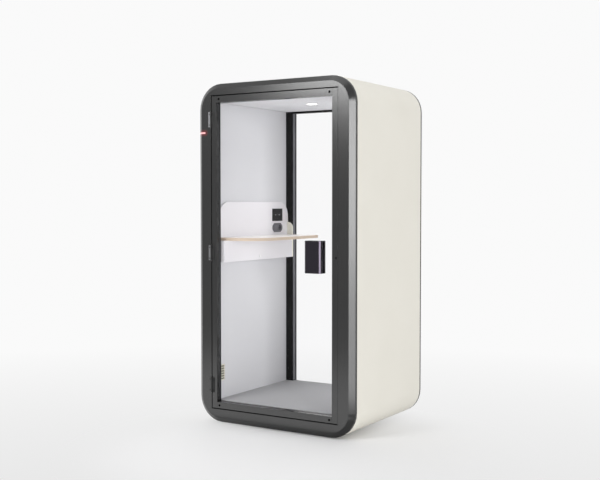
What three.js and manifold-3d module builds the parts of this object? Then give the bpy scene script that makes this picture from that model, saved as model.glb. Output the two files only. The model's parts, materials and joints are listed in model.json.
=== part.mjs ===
// A single-person acoustic pod: a rounded shell between two dark frames, with a framed glass
// door in front, a fixed pane behind and a standing desk on the left wall.
// Millimetres. +X is right as seen from the door, +Y runs to the rear, +Z is up, and the origin
// lies on the floor under the middle of the body.
import * as THREE from "three";
import { mergeVertices } from "three/addons/utils/BufferGeometryUtils.js";
import Module from "manifold-3d";

const wasm = await Module();
wasm.setup();

// Body
const BODY_WIDTH = 1160;
const BODY_DEPTH = 955;
const BODY_HEIGHT = 2200;
const FOOT_CLEARANCE = 4;
const CORNER_RADIUS = 166;
const SKIN_THICKNESS = 12;
const WALL_THICKNESS = 110;
const FLOOR_THICKNESS = 138;
const ROOF_THICKNESS = 114;
const FELT_THICKNESS = 15;
const CEILING_THICKNESS = 15;
const DECK_THICKNESS = 24;
const CARPET_THICKNESS = 8;
const CLEARANCE = 0.3;

// Front frame
const BEVEL_INSET = 33;
const BEVEL_DEPTH = 28;
const FRONT_SIDE = 49;
const JAMB_WIDTH = 107;
const HEAD_HEIGHT = 74.5;
const SILL_HEIGHT = 88;
const STOP_WIDTH = 20;
const STOP_COVER = 17;
const STOP_DEPTH = 15;

// Rear frame and its pane
const REAR_FRAME_DEPTH = 52.5;
const REAR_SIDE = 18;
const REAR_EASE = 3;
const REAR_JAMB = 168;
const REAR_HEAD = 127;
const REAR_GLASS_THICKNESS = 8;
const REAR_GLASS_RECESS = 10.5;

// Door
const HINGE_GAP = 6;
const LOCK_GAP = 3;
const RAIL_GAP = 4;
const STOP_GAP = 1;
const DOOR_THICKNESS = 46;
const STILE_WIDTH = 38;
const TOP_RAIL = 46;
const BOTTOM_RAIL = 43;
const GLASS_RECESS = 32;
const GLASS_THICKNESS = 8;
const GLASS_BITE = 12;
const GLASS_EDGE_GAP = 2;
const GASKET_THICKNESS = 1.2;
const SEAL_INSET = 5;
const SEAL_WIDTH = 8;
const SEAL_DEPTH = 6;
const SEAL_PROUD = 0.7;

// Hinges
const HINGE_HEIGHT = 98;
const HINGE_END_DISTANCE = 152;
const HINGE_STANDOFF = 3;
const KNUCKLES = 3;
const KNUCKLE_RADIUS = 6;
const KNUCKLE_RELIEF = 0.8;
const PIN_RADIUS = 3;
const PIN_HEAD_RADIUS = 4.5;
const PIN_HEAD = 2.5;
const LEAF_THICKNESS = 2.5;
const FRAME_LEAF_WIDTH = 22;
const DOOR_LEAF_WIDTH = 22;

// Catch, handle and light bar
const MAGNET_DEPTH = 10;
const MAGNET_WIDTH = 22;
const MAGNET_HEIGHT = 60;
const STRIKE_THICKNESS = 2;
const STRIKE_HEIGHT = 70;
const HANDLE_WIDTH = 115;
const HANDLE_HEIGHT = 200;
const HANDLE_OUTER_DEPTH = 36;
const HANDLE_INNER_DEPTH = 29;
const HANDLE_RISE = 1000;
const HANDLE_EDGE_DISTANCE = 80;
const HANDLE_CHAMFER = 9;
const HANDLE_STUD_RADIUS = 5;
const HANDLE_STUD_END = 40;
const HANDLE_STUD_DEPTH = 12;
const GRIP_DEPTH = 32;
const GRIP_WIDTH = 13;
const GRIP_END = 15;
const LIGHT_DROP = 315;
const LIGHT_HEIGHT = 10;
const LIGHT_DEPTH = 6;
const LIGHT_PROUD = 0.6;
const LIGHT_FACE_LENGTH = 28.5;
const LIGHT_BEVEL_MARGIN = 4;

// Desk and console
const DESK_RISE = 1066;
const DESK_THICKNESS = 20;
const DESK_DEPTH = 322;
const DESK_TAPER = 26;
const DESK_FRONT_MARGIN = 16;
const DESK_REAR_MARGIN = 35;
const DESK_NOSE_WIDTH = 175;
const DESK_NOSE_LENGTH = 190;
const DESK_CORNER = 20;
const BOX_DEPTH = 58;
const BOX_HEIGHT = 142;
const BOX_WALL = 8;
const BRACKET_THICKNESS = 5;
const BRACKET_WIDTH = 40;
const BRACKET_SPACING = 500;
const UPSTAND_THICKNESS = 15;
const UPSTAND_HEIGHT = 233.5;
const UPSTAND_RADIUS = 105;
const CUTOUT_ROOM = 3;
const CHEEK_THICKNESS = 12;
const CHEEK_RISE = 88;
const CHEEK_RADIUS = 40;
const MODULE_REAR_DISTANCE = 145;
const MODULE_WIDTH = 128;
const MODULE_HEIGHT = 88;
const MODULE_PLATE = 4;
const MODULE_RIM = 10;
const MODULE_RISE = 142;
const PORT_WIDTH = 14;
const PORT_HEIGHT = 7;
const PORT_SPACING = 50;
const MODULE_BODY = 11;
const MODULE_BACK = 2;
const SOCKET_WIDTH = 122;
const SOCKET_HEIGHT = 64;
const SOCKET_CORNER = 20;
const SOCKET_PLATE = 5;
const SOCKET_RISE = 51;
const SOCKET_OFFSET = 25;
const SOCKET_RADIUS = 20;
const SOCKET_WALL = 4;
const SOCKET_DEPTH = 14;
const SOCKET_PIN_RADIUS = 2.5;
const SOCKET_PIN_SPACING = 19;
const BUTTON_RADIUS = 10;
const BUTTON_PROUD = 2;
const BUTTON_RISE = 24;
const BUTTON_FLANGE = 2.5;

// Ventilation, light and power
const GRILLE_WIDTH = 70;
const GRILLE_RISE = 120;
const GRILLE_THICKNESS = 4;
const GRILLE_SLOTS = 6;
const GRILLE_PITCH = 16.3;
const GRILLE_SLOT = 8;
const GRILLE_RIM = 7;
const GRILLE_FRONT_MARGIN = 3;
const DUCT_DEPTH = 45;
const DUCT_RUN = 190;
const DUCT_TRENCH = 32;
const FAN_SIZE = 120;
const FAN_THICKNESS = 25;
const FAN_RADIUS = 57;
const FAN_SIDE_DISTANCE = 170;
const FAN_REAR_DISTANCE = 150;
const FAN_HUB_RADIUS = 20;
const FAN_HUB_HEIGHT = 13;
const FAN_BASE_HEIGHT = 7;
const FAN_SHAFT_RADIUS = 2.5;
const FAN_TIP_GAP = 2.5;
const FAN_BLADES = 7;
const FAN_BLADE_CHORD = 20;
const FAN_BLADE_THICKNESS = 2;
const FAN_BLADE_PITCH = 0.6;
const FAN_STRUTS = 3;
const FAN_STRUT_WIDTH = 6;
const EXHAUST_SLOTS = 6;
const SLOT_WIDTH = 9;
const SLOT_PITCH = 18;
const SLOT_LENGTH = 104;
const INTAKE_SLOTS = 3;
const DOWNLIGHT_RADIUS = 43;
const DOWNLIGHT_SLEEVE = 37;
const DOWNLIGHT_LIP = 33;
const DOWNLIGHT_FLANGE = 2;
const DOWNLIGHT_WALL = 2;
const DIFFUSER_THICKNESS = 3;
const SUPPLY_LENGTH = 180;
const SUPPLY_WIDTH = 62;
const SUPPLY_HEIGHT = 38;
const SUPPLY_SIDE_DISTANCE = 190;
const SUPPLY_REAR_DISTANCE = 190;
const INLET_WIDTH = 48;
const INLET_LENGTH = 30;
const INLET_FLANGE = 3;
const INLET_CASE_WIDTH = 34;
const INLET_CASE_LENGTH = 26;
const INLET_DEPTH = 29;
const INLET_WALL = 2;
const INLET_RECESS = 18;
const INLET_REAR_DISTANCE = 60;
const INLET_PIN_RADIUS = 2;
const INLET_PIN_SPACING = 8;
const INLET_PIN_HEIGHT = 10;

// Levelling feet
const FOOT_RADIUS = 28;
const FOOT_DISC = 10;
const FOOT_HOLE_GAP = 2;
const FOOT_STEM_RADIUS = 6;
const FOOT_STEM_LENGTH = 60;
const FOOT_SIDE_DISTANCE = 230;
const FOOT_END_DISTANCE = 92;
const FOOT_TRAVEL_ROOM = 12;

// Facets in a quarter round of the body, round a rod and along an outline's curve
const CORNER_STEPS = 8;
const ROD_STEPS = 24;
const CURVE_STEPS = 10;
// How far a cutting body runs past the face that it opens
const OVERCUT = 2;

// Outer planes of the body
const left = -BODY_WIDTH / 2;
const right = BODY_WIDTH / 2;
const front = -BODY_DEPTH / 2;
const rear = BODY_DEPTH / 2;
const bottom = FOOT_CLEARANCE;
const top = bottom + BODY_HEIGHT;

// Spans that several pieces share, each as [from, to]
const opening = {
  x: [left + JAMB_WIDTH, right - JAMB_WIDTH],
  z: [bottom + SILL_HEIGHT, top - HEAD_HEIGHT],
};
const door = {
  x: [opening.x[0] + HINGE_GAP, opening.x[1] - LOCK_GAP],
  y: [front, front + DOOR_THICKNESS],
  z: [opening.z[0] + RAIL_GAP, opening.z[1] - RAIL_GAP],
};
const pane = {
  x: [door.x[0] + STILE_WIDTH, door.x[1] - STILE_WIDTH],
  y: [front + GLASS_RECESS, front + GLASS_RECESS + GLASS_THICKNESS],
  z: [door.z[0] + BOTTOM_RAIL, door.z[1] - TOP_RAIL],
};
const paneSeat = pane.y[0] - GASKET_THICKNESS - 2 * CLEARANCE;
const stop = [door.y[1] + STOP_GAP, door.y[1] + STOP_GAP + STOP_DEPTH];
const shell = [front + FRONT_SIDE + CLEARANCE, rear - REAR_SIDE - CLEARANCE];
const cabin = {
  x: [left + WALL_THICKNESS, right - WALL_THICKNESS],
  y: [stop[1] + CLEARANCE, rear - REAR_FRAME_DEPTH - CLEARANCE],
  z: [bottom + FLOOR_THICKNESS, top - ROOF_THICKNESS],
};
const deck = [cabin.z[0] - CARPET_THICKNESS - DECK_THICKNESS, cabin.z[0] - CARPET_THICKNESS];
const ceiling = [cabin.z[1], cabin.z[1] + CEILING_THICKNESS];
const rearPane = {
  x: [left + REAR_JAMB, right - REAR_JAMB],
  y: [rear - REAR_GLASS_RECESS - REAR_GLASS_THICKNESS, rear - REAR_GLASS_RECESS],
  z: [deck[1], top - REAR_HEAD],
};
const rearSeat = rearPane.y[0] - GASKET_THICKNESS - 2 * CLEARANCE;
const roofUnder = top - SKIN_THICKNESS;
const cornerStart = BODY_WIDTH / 2 - CORNER_RADIUS;

// Desk group
const deskTop = cabin.z[0] + DESK_RISE;
const desk = [deskTop - DESK_THICKNESS, deskTop];
const consoleBox = {
  x: [cabin.x[0] + CLEARANCE, cabin.x[0] + BOX_DEPTH],
  y: [cabin.y[0], cabin.y[1] - CHEEK_THICKNESS - CLEARANCE],
  z: [desk[0] - CLEARANCE - BOX_HEIGHT, desk[0] - CLEARANCE],
};
const upstand = {
  x: [cabin.x[0] + CLEARANCE, cabin.x[0] + UPSTAND_THICKNESS],
  y: cabin.y,
  z: [desk[0], deskTop + UPSTAND_HEIGHT],
};
const moduleY = cabin.y[1] - MODULE_REAR_DISTANCE;

// Handle, vent and roof equipment
const handle = {
  x: [pane.x[1] - HANDLE_EDGE_DISTANCE - HANDLE_WIDTH, pane.x[1] - HANDLE_EDGE_DISTANCE],
  z: [bottom + HANDLE_RISE, bottom + HANDLE_RISE + HANDLE_HEIGHT],
};
const catchHeight = (handle.z[0] + handle.z[1]) / 2;
const hinge = {
  x: opening.x[0] + HINGE_GAP / 2,
  y: front - HINGE_STANDOFF,
  z: [
    door.z[0] + HINGE_END_DISTANCE,
    (door.z[0] + door.z[1]) / 2,
    door.z[1] - HINGE_END_DISTANCE,
  ],
};
const grilleHeight = (GRILLE_SLOTS - 1) * GRILLE_PITCH + GRILLE_SLOT + 2 * GRILLE_RIM;
const grille = {
  y: [cabin.y[0] + GRILLE_FRONT_MARGIN, cabin.y[0] + GRILLE_FRONT_MARGIN + GRILLE_WIDTH],
  z: [cabin.z[0] + GRILLE_RISE, cabin.z[0] + GRILLE_RISE + grilleHeight],
};
const duct = {
  x: [cabin.x[0] - FELT_THICKNESS - DUCT_DEPTH, cabin.x[0] - FELT_THICKNESS],
  y: [grille.y[0] + GRILLE_RIM, grille.y[1] - GRILLE_RIM],
  z: [grille.z[0] + GRILLE_RIM, grille.z[1] - GRILLE_RIM],
};
const fan = {
  x: cabin.x[1] - FAN_SIDE_DISTANCE,
  y: cabin.y[1] - FAN_REAR_DISTANCE,
  z: ceiling[1] + CLEARANCE,
};
const supply = {
  x: cabin.x[0] + SUPPLY_SIDE_DISTANCE,
  y: cabin.y[1] - SUPPLY_REAR_DISTANCE,
};
const inlet = { x: supply.x, y: cabin.y[1] - INLET_REAR_DISTANCE };
const intake = duct.x[0] + DUCT_RUN;
const footPlaces = [-1, 1].flatMap((side) =>
  [-1, 1].map((end) => ({
    name: `foot_${end < 0 ? "front" : "rear"}_${side < 0 ? "left" : "right"}`,
    x: side * (BODY_WIDTH / 2 - FOOT_SIDE_DISTANCE),
    y: end * (BODY_DEPTH / 2 - FOOT_END_DISTANCE),
  })),
);

// Colour, roughness and metalness of each finish
const FINISHES = {
  frame: { color: 0x3c3c3e, roughness: 0.42, metalness: 0.35 },
  skin: { color: 0xe5e2d8, roughness: 0.7, metalness: 0 },
  core: { color: 0xb9ad98, roughness: 0.95, metalness: 0 },
  deck: { color: 0xc7a97c, roughness: 0.8, metalness: 0 },
  felt: { color: 0xdcdcde, roughness: 0.95, metalness: 0 },
  carpet: { color: 0x9fa0a2, roughness: 1, metalness: 0 },
  glass: { color: 0xf4f8f7, roughness: 0.03, metalness: 0, transparent: true, opacity: 0.2 },
  rubber: { color: 0x18181a, roughness: 0.85, metalness: 0 },
  hinge: { color: 0x8c8c90, roughness: 0.35, metalness: 0.9 },
  steel: { color: 0xa8a9ac, roughness: 0.3, metalness: 1 },
  handle: { color: 0x2e2b33, roughness: 0.35, metalness: 0.3 },
  light: { color: 0xff4a55, roughness: 0.3, metalness: 0, emissive: 0xff2a3a },
  desk: { color: 0xefe8e2, roughness: 0.45, metalness: 0 },
  panel: { color: 0xeeedf0, roughness: 0.55, metalness: 0 },
  cheek: { color: 0xccccb8, roughness: 0.6, metalness: 0 },
  module: { color: 0x2a2a2c, roughness: 0.4, metalness: 0 },
  socket: { color: 0x57575c, roughness: 0.45, metalness: 0 },
  trim: { color: 0xf2f2f2, roughness: 0.4, metalness: 0 },
  diffuser: { color: 0xffffff, roughness: 0.5, metalness: 0, emissive: 0xffffff },
  grille: { color: 0xd6d2bf, roughness: 0.6, metalness: 0 },
};

// A closed geometry as a solid that can be joined and cut.
function solid(geometry) {
  geometry.deleteAttribute("normal");
  geometry.deleteAttribute("uv");
  const merged = mergeVertices(geometry);
  const mesh = new wasm.Mesh({
    numProp: 3,
    vertProperties: merged.attributes.position.array,
    triVerts: new Uint32Array(merged.index.array),
  });
  return new wasm.Manifold(mesh);
}

// A block between two planes on each axis.
function block(x, y, z) {
  const geometry = new THREE.BoxGeometry(x[1] - x[0], y[1] - y[0], z[1] - z[0]);
  geometry.translate((x[0] + x[1]) / 2, (y[0] + y[1]) / 2, (z[0] + z[1]) / 2);
  return solid(geometry);
}

// A span made longer at both ends, or shorter where the amount is negative.
function grow(span, amount) {
  return [span[0] - amount, span[1] + amount];
}

// A span of a given length about a middle.
function about(middle, length) {
  return [middle - length / 2, middle + length / 2];
}

// A rod along an axis, at the two coordinates that are left, in x, y, z order.
function rod(radius, axis, span, at) {
  const geometry = new THREE.CylinderGeometry(radius, radius, span[1] - span[0], ROD_STEPS);
  geometry.translate(0, (span[0] + span[1]) / 2, 0);
  if (axis === "x") {
    geometry.rotateZ(-Math.PI / 2);
    geometry.translate(0, at[0], at[1]);
  } else if (axis === "z") {
    geometry.rotateX(Math.PI / 2);
    geometry.translate(at[0], at[1], 0);
  } else {
    geometry.translate(at[0], 0, at[1]);
  }
  return solid(geometry);
}

// An outline given thickness along an axis. It lies in x and y for "z", in y and z for "x",
// and in x and z for "y".
function prism(shape, axis, span) {
  const settings = { depth: span[1] - span[0], bevelEnabled: false, curveSegments: CURVE_STEPS };
  const geometry = new THREE.ExtrudeGeometry(shape, settings);
  const alongX = new THREE.Vector3(1, 0, 0);
  const alongY = new THREE.Vector3(0, 1, 0);
  const alongZ = new THREE.Vector3(0, 0, 1);
  if (axis === "x") {
    geometry.applyMatrix4(new THREE.Matrix4().makeBasis(alongY, alongZ, alongX));
    geometry.translate(span[0], 0, 0);
  } else if (axis === "y") {
    geometry.applyMatrix4(new THREE.Matrix4().makeBasis(alongX, alongZ, alongY.negate()));
    geometry.translate(0, span[1], 0);
  } else {
    geometry.translate(0, 0, span[0]);
  }
  return solid(geometry);
}

// A closed polygon as a shape.
function polygon(points) {
  return new THREE.Shape(points.map(([a, b]) => new THREE.Vector2(a, b)));
}

// The body's rounded outline in x and z, set in from the outside.
function bodyOutline(inset) {
  const radius = CORNER_RADIUS - inset;
  const middle = (bottom + top) / 2;
  const rise = BODY_HEIGHT / 2 - CORNER_RADIUS;
  const centres = [
    [cornerStart, rise],
    [-cornerStart, rise],
    [-cornerStart, -rise],
    [cornerStart, -rise],
  ];
  return centres.flatMap(([x, z], corner) =>
    Array.from({ length: CORNER_STEPS + 1 }, (_, step) => {
      const angle = ((corner + step / CORNER_STEPS) * Math.PI) / 2;
      const across = x + radius * Math.cos(angle);
      return new THREE.Vector2(across, middle + z + radius * Math.sin(angle));
    }),
  );
}

// A closed body through outlines with equal numbers of points, from the front to the rear.
function loft(sections) {
  const count = sections[0].outline.length;
  const last = (sections.length - 1) * count;
  const places = sections.flatMap(({ y, outline }) => outline.flatMap((p) => [p.x, y, p.y]));
  const triangles = [];
  for (const [a, b, c] of THREE.ShapeUtils.triangulateShape(sections[0].outline, [])) {
    triangles.push(a, b, c);
    triangles.push(last + a, last + c, last + b);
  }
  for (let level = 0; level < last; level += count) {
    for (let i = 0; i < count; i += 1) {
      const next = (i + 1) % count;
      triangles.push(level + i, level + count + next, level + next);
      triangles.push(level + i, level + count + i, level + count + next);
    }
  }
  const geometry = new THREE.BufferGeometry();
  geometry.setAttribute("position", new THREE.Float32BufferAttribute(places, 3));
  geometry.setIndex(triangles);
  return solid(geometry);
}

// The body's outline, set in and filled between two planes.
function bodyPrism(inset, y) {
  const outline = bodyOutline(inset);
  return loft([
    { y: y[0], outline },
    { y: y[1], outline },
  ]);
}

// A flat rectangular ring. The outer edge is the given rectangle, grown by an amount.
function ring(rectangle, outward, width, y) {
  const outer = block(grow(rectangle.x, outward), y, grow(rectangle.z, outward));
  const inner = outward - width;
  const hole = block(grow(rectangle.x, inner), grow(y, OVERCUT), grow(rectangle.z, inner));
  return outer.subtract(hole);
}

// A named mesh with its own material.
function part(name, body, finish) {
  const { vertProperties, triVerts } = body.getMesh();
  const geometry = new THREE.BufferGeometry();
  geometry.setAttribute("position", new THREE.BufferAttribute(vertProperties, 3));
  geometry.setIndex(new THREE.BufferAttribute(triVerts, 1));
  geometry.computeVertexNormals();
  const mesh = new THREE.Mesh(geometry, new THREE.MeshStandardMaterial(FINISHES[finish]));
  mesh.name = name;
  return mesh;
}

// Plan outline of the light bar, wrapped over the left bevel and on to the frame's face.
// It stands proud by one amount, reaches in by another and is longer by a margin at each end.
function lightOutline(proud, depth, margin) {
  const slope = new THREE.Vector2(BEVEL_DEPTH, BEVEL_INSET).normalize();
  const along = new THREE.Vector2(-BEVEL_INSET, BEVEL_DEPTH);
  const run = along.length() - LIGHT_BEVEL_MARGIN + margin;
  const edge = new THREE.Vector2(left + BEVEL_INSET, front);
  const start = new THREE.Vector2(edge.x + LIGHT_FACE_LENGTH + margin, front);
  const end = edge.clone().addScaledVector(along.normalize(), run);
  const inward = new THREE.Vector2(0, 1);
  const fold = inward.clone().add(slope).divideScalar(1 + inward.dot(slope));
  const outer = [
    start.clone().addScaledVector(inward, -proud),
    edge.clone().addScaledVector(fold, -proud),
    end.clone().addScaledVector(slope, -proud),
  ];
  const inner = [
    end.clone().addScaledVector(slope, depth),
    edge.clone().addScaledVector(fold, depth),
    start.clone().addScaledVector(inward, depth),
  ];
  return new THREE.Shape([...outer, ...inner]);
}

function lightSpan(margin) {
  return about(top - LIGHT_DROP, LIGHT_HEIGHT + 2 * margin);
}

// Room for a hinge's knuckles, cut from the frame and the stile.
function hingeRelief(z) {
  const span = about(z, HINGE_HEIGHT + 2 * KNUCKLE_RADIUS);
  return rod(KNUCKLE_RADIUS + KNUCKLE_RELIEF, "z", span, [hinge.x, hinge.y]);
}

function frontFrame() {
  const full = bodyOutline(0);
  const side = [front + BEVEL_DEPTH, front + FRONT_SIDE];
  let body = loft([
    { y: front, outline: bodyOutline(BEVEL_INSET) },
    { y: side[0], outline: full },
    { y: side[1], outline: full },
  ]);
  body = body.add(bodyPrism(SKIN_THICKNESS + CLEARANCE, [side[0], stop[1]]));
  body = body.subtract(block(opening.x, [front - OVERCUT, stop[0]], opening.z));
  const reach = grow(stop, OVERCUT);
  const stopWay = block(grow(opening.x, -STOP_WIDTH), reach, grow(opening.z, -STOP_WIDTH));
  const liningWay = block(grow(cabin.x, -STOP_COVER), reach, opening.z);
  body = body.subtract(stopWay.intersect(liningWay));
  const groove = [stop[0] - OVERCUT, stop[0] + SEAL_DEPTH];
  body = body.subtract(ring(opening, CLEARANCE - SEAL_INSET, SEAL_WIDTH + 2 * CLEARANCE, groove));
  const magnetRoom = [opening.x[1] - OVERCUT, opening.x[1] + MAGNET_DEPTH + CLEARANCE];
  body = body.subtract(block(magnetRoom, grow(magnetY(), CLEARANCE), grow(magnetZ(), CLEARANCE)));
  const lightRoom = lightOutline(OVERCUT, LIGHT_DEPTH + CLEARANCE, CLEARANCE);
  body = body.subtract(prism(lightRoom, "z", lightSpan(CLEARANCE)));
  for (const z of hinge.z) {
    body = body.subtract(hingeRelief(z));
  }
  return part("front_frame", body, "frame");
}

function rearFrame() {
  const full = bodyOutline(0);
  const side = [rear - REAR_SIDE, rear - REAR_EASE];
  const face = rear - REAR_FRAME_DEPTH;
  let body = loft([
    { y: side[0], outline: full },
    { y: side[1], outline: full },
    { y: rear, outline: bodyOutline(REAR_EASE) },
  ]);
  body = body.add(bodyPrism(SKIN_THICKNESS + CLEARANCE, [face, side[1]]));
  body = body.subtract(block(rearPane.x, [face - OVERCUT, rear + OVERCUT], rearPane.z));
  const rebate = [rearSeat, rear + OVERCUT];
  body = body.subtract(block(grow(rearPane.x, GLASS_BITE), rebate, grow(rearPane.z, GLASS_BITE)));
  return part("rear_frame", body, "frame");
}

function rearGlazing() {
  const pressed = [rearSeat + CLEARANCE, rearSeat + CLEARANCE + GASKET_THICKNESS];
  const gasket = ring(rearPane, GLASS_BITE - GLASS_EDGE_GAP, GLASS_BITE - GLASS_EDGE_GAP, pressed);
  const reach = GLASS_BITE - GLASS_EDGE_GAP;
  const glass = block(grow(rearPane.x, reach), rearPane.y, grow(rearPane.z, reach));
  const beadSpan = [rearPane.y[1] + CLEARANCE, rear - REAR_EASE];
  const bead = ring(rearPane, GLASS_BITE - CLEARANCE, GLASS_BITE - CLEARANCE, beadSpan);
  return [
    part("rear_gasket", gasket, "rubber"),
    part("rear_glass", glass, "glass"),
    part("rear_bead", bead, "frame"),
  ];
}

// Slots through a panel, side by side along x about a middle.
function slots(count, middle, y, z) {
  return Array.from({ length: count }, (_, i) => {
    const place = middle + (i - (count - 1) / 2) * SLOT_PITCH;
    return block(about(place, SLOT_WIDTH), y, z);
  });
}

function exhaustSlots(z) {
  return slots(EXHAUST_SLOTS, fan.x, about(fan.y, SLOT_LENGTH), z);
}

function shellSkins() {
  const whole = bodyPrism(0, shell).subtract(bodyPrism(SKIN_THICKNESS, grow(shell, OVERCUT)));
  const seam = cornerStart + CLEARANCE / 2;
  const middle = (bottom + top) / 2;
  const tall = [bottom - OVERCUT, top + OVERCUT];
  const long = grow(shell, OVERCUT);
  const flat = [-cornerStart + CLEARANCE / 2, cornerStart - CLEARANCE / 2];
  const leftSkin = whole.intersect(block([left - OVERCUT, -seam], long, tall));
  const rightSkin = whole.intersect(block([seam, right + OVERCUT], long, tall));
  let roof = whole.intersect(block(flat, long, [middle, tall[1]]));
  let pan = whole.intersect(block(flat, long, [tall[0], middle]));
  const through = [roofUnder - OVERCUT, top + OVERCUT];
  const intakeSlots = slots(INTAKE_SLOTS, intake, duct.y, through);
  for (const slot of [...exhaustSlots(through), ...intakeSlots]) {
    roof = roof.subtract(slot);
  }
  roof = roof.subtract(inletFlange(CLEARANCE, [top - INLET_FLANGE - CLEARANCE, top + OVERCUT]));
  roof = roof.subtract(inletCase(CLEARANCE, top));
  for (const { x, y } of footPlaces) {
    const hole = [bottom - OVERCUT, bottom + SKIN_THICKNESS + OVERCUT];
    pan = pan.subtract(rod(FOOT_RADIUS + FOOT_HOLE_GAP, "z", hole, [x, y]));
  }
  return [
    part("side_skin_left", leftSkin, "skin"),
    part("side_skin_right", rightSkin, "skin"),
    part("roof_skin", roof, "skin"),
    part("base_pan", pan, "skin"),
  ];
}

// The body's inside between two levels, cut to a span in x.
function filling(x, z) {
  const inside = bodyPrism(SKIN_THICKNESS + CLEARANCE, cabin.y);
  return inside.intersect(block(x, grow(cabin.y, OVERCUT), z));
}

// The air duct: a pocket behind the low vent, a riser in the wall and a trench in the roof.
function ductRiser() {
  return block(duct.x, duct.y, [duct.z[0], ceiling[1] + OVERCUT]);
}

function ductTrench() {
  const mouth = about(intake, INTAKE_SLOTS * SLOT_PITCH);
  const floor = ceiling[1];
  const low = block([duct.x[0], mouth[1]], duct.y, [floor, floor + DUCT_TRENCH]);
  return low.add(block(mouth, duct.y, [floor, top]));
}

function wallCores() {
  const wall = [deck[1] + CLEARANCE, ceiling[1]];
  const inner = grow(cabin.x, FELT_THICKNESS + CLEARANCE);
  const leftCore = filling([left, inner[0]], wall)
    .subtract(ductRiser())
    .subtract(block([duct.x[0], inner[0] + OVERCUT], duct.y, duct.z));
  return [
    part("core_left", leftCore, "core"),
    part("core_right", filling([inner[1], right], wall), "core"),
  ];
}

function roofCore() {
  const fanRoom = FAN_SIZE + 2 * CLEARANCE;
  const rise = [ceiling[1], top];
  const supplyRoom = [
    about(supply.x, SUPPLY_LENGTH + 2 * CLEARANCE),
    about(supply.y, SUPPLY_WIDTH + 2 * CLEARANCE),
    [ceiling[1], ceiling[1] + SUPPLY_HEIGHT + 2 * CLEARANCE],
  ];
  const body = filling([left, right], [ceiling[1] + CLEARANCE, top])
    .subtract(block(about(fan.x, fanRoom), about(fan.y, fanRoom), rise))
    .subtract(block(...supplyRoom))
    .subtract(inletCase(CLEARANCE, top))
    .subtract(ductTrench());
  return part("core_roof", body, "core");
}

function floorParts() {
  let base = filling([left, right], [bottom, deck[0] - CLEARANCE]);
  const stemTop = FOOT_DISC + FOOT_STEM_LENGTH + FOOT_TRAVEL_ROOM;
  for (const { x, y } of footPlaces) {
    base = base.subtract(rod(FOOT_STEM_RADIUS + CLEARANCE, "z", [0, stemTop], [x, y]));
  }
  const [x0, x1] = grow(cabin.x, -CLEARANCE);
  const [w0, w1] = grow(rearPane.x, -CLEARANCE);
  const carpetRear = rearPane.y[0] - CLEARANCE;
  const carpetOutline = polygon([
    [x0, cabin.y[0]],
    [x1, cabin.y[0]],
    [x1, cabin.y[1]],
    [w1, cabin.y[1]],
    [w1, carpetRear],
    [w0, carpetRear],
    [w0, cabin.y[1]],
    [x0, cabin.y[1]],
  ]);
  return [
    part("core_base", base, "core"),
    part("floor_deck", filling([left, right], deck), "deck"),
    part("carpet", prism(carpetOutline, "z", [deck[1] + CLEARANCE, cabin.z[0]]), "carpet"),
  ];
}

function linings() {
  const wall = [deck[1] + CLEARANCE, cabin.z[1] - CLEARANCE];
  const leftSpan = [cabin.x[0] - FELT_THICKNESS, cabin.x[0]];
  const rightSpan = [cabin.x[1], cabin.x[1] + FELT_THICKNESS];
  const leftFelt = block(leftSpan, cabin.y, wall).subtract(
    block(grow(leftSpan, OVERCUT), duct.y, duct.z),
  );
  let panel = block(grow(cabin.x, FELT_THICKNESS), cabin.y, ceiling);
  const through = grow(ceiling, OVERCUT);
  for (const slot of exhaustSlots(through)) {
    panel = panel.subtract(slot);
  }
  const hole = rod(DOWNLIGHT_SLEEVE + CLEARANCE, "z", through, downlightPlace());
  return [
    part("wall_felt_left", leftFelt, "felt"),
    part("wall_felt_right", block(rightSpan, cabin.y, wall), "felt"),
    part("ceiling_panel", panel.subtract(hole), "felt"),
  ];
}

function ventGrille() {
  const x = [cabin.x[0] + CLEARANCE, cabin.x[0] + CLEARANCE + GRILLE_THICKNESS];
  let plate = block(x, grille.y, grille.z);
  for (let i = 0; i < GRILLE_SLOTS; i += 1) {
    const low = grille.z[0] + GRILLE_RIM + i * GRILLE_PITCH;
    plate = plate.subtract(block(grow(x, OVERCUT), duct.y, [low, low + GRILLE_SLOT]));
  }
  return part("vent_grille", plate, "grille");
}

// Room for the glass, its gasket and bead, cut from the back of every door member.
function doorRebate() {
  const y = [paneSeat, door.y[1] + OVERCUT];
  return block(grow(pane.x, GLASS_BITE), y, grow(pane.z, GLASS_BITE));
}

function strikeSpan() {
  return about(catchHeight, STRIKE_HEIGHT);
}

function magnetY() {
  return about((door.y[0] + paneSeat) / 2, MAGNET_WIDTH);
}

function magnetZ() {
  return about(catchHeight, MAGNET_HEIGHT);
}

function doorMembers() {
  const rebate = doorRebate();
  let hingeStile = block([door.x[0], pane.x[0]], door.y, door.z).subtract(rebate);
  for (const z of hinge.z) {
    hingeStile = hingeStile.subtract(hingeRelief(z));
  }
  const strikeRoom = [door.x[1] - STRIKE_THICKNESS - CLEARANCE, door.x[1] + OVERCUT];
  const lockStile = block([pane.x[1], door.x[1]], door.y, door.z)
    .subtract(rebate)
    .subtract(block(strikeRoom, grow(magnetY(), CLEARANCE), grow(strikeSpan(), CLEARANCE)));
  const between = grow(pane.x, -CLEARANCE);
  const topRail = block(between, door.y, [pane.z[1], door.z[1]]).subtract(rebate);
  const bottomRail = block(between, door.y, [door.z[0], pane.z[0]]).subtract(rebate);
  const strikeX = [door.x[1] - STRIKE_THICKNESS, door.x[1]];
  return [
    part("door_stile_hinge", hingeStile, "frame"),
    part("door_stile_lock", lockStile, "frame"),
    part("door_rail_top", topRail, "frame"),
    part("door_rail_bottom", bottomRail, "frame"),
    part("strike_plate", block(strikeX, magnetY(), strikeSpan()), "steel"),
  ];
}

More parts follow.
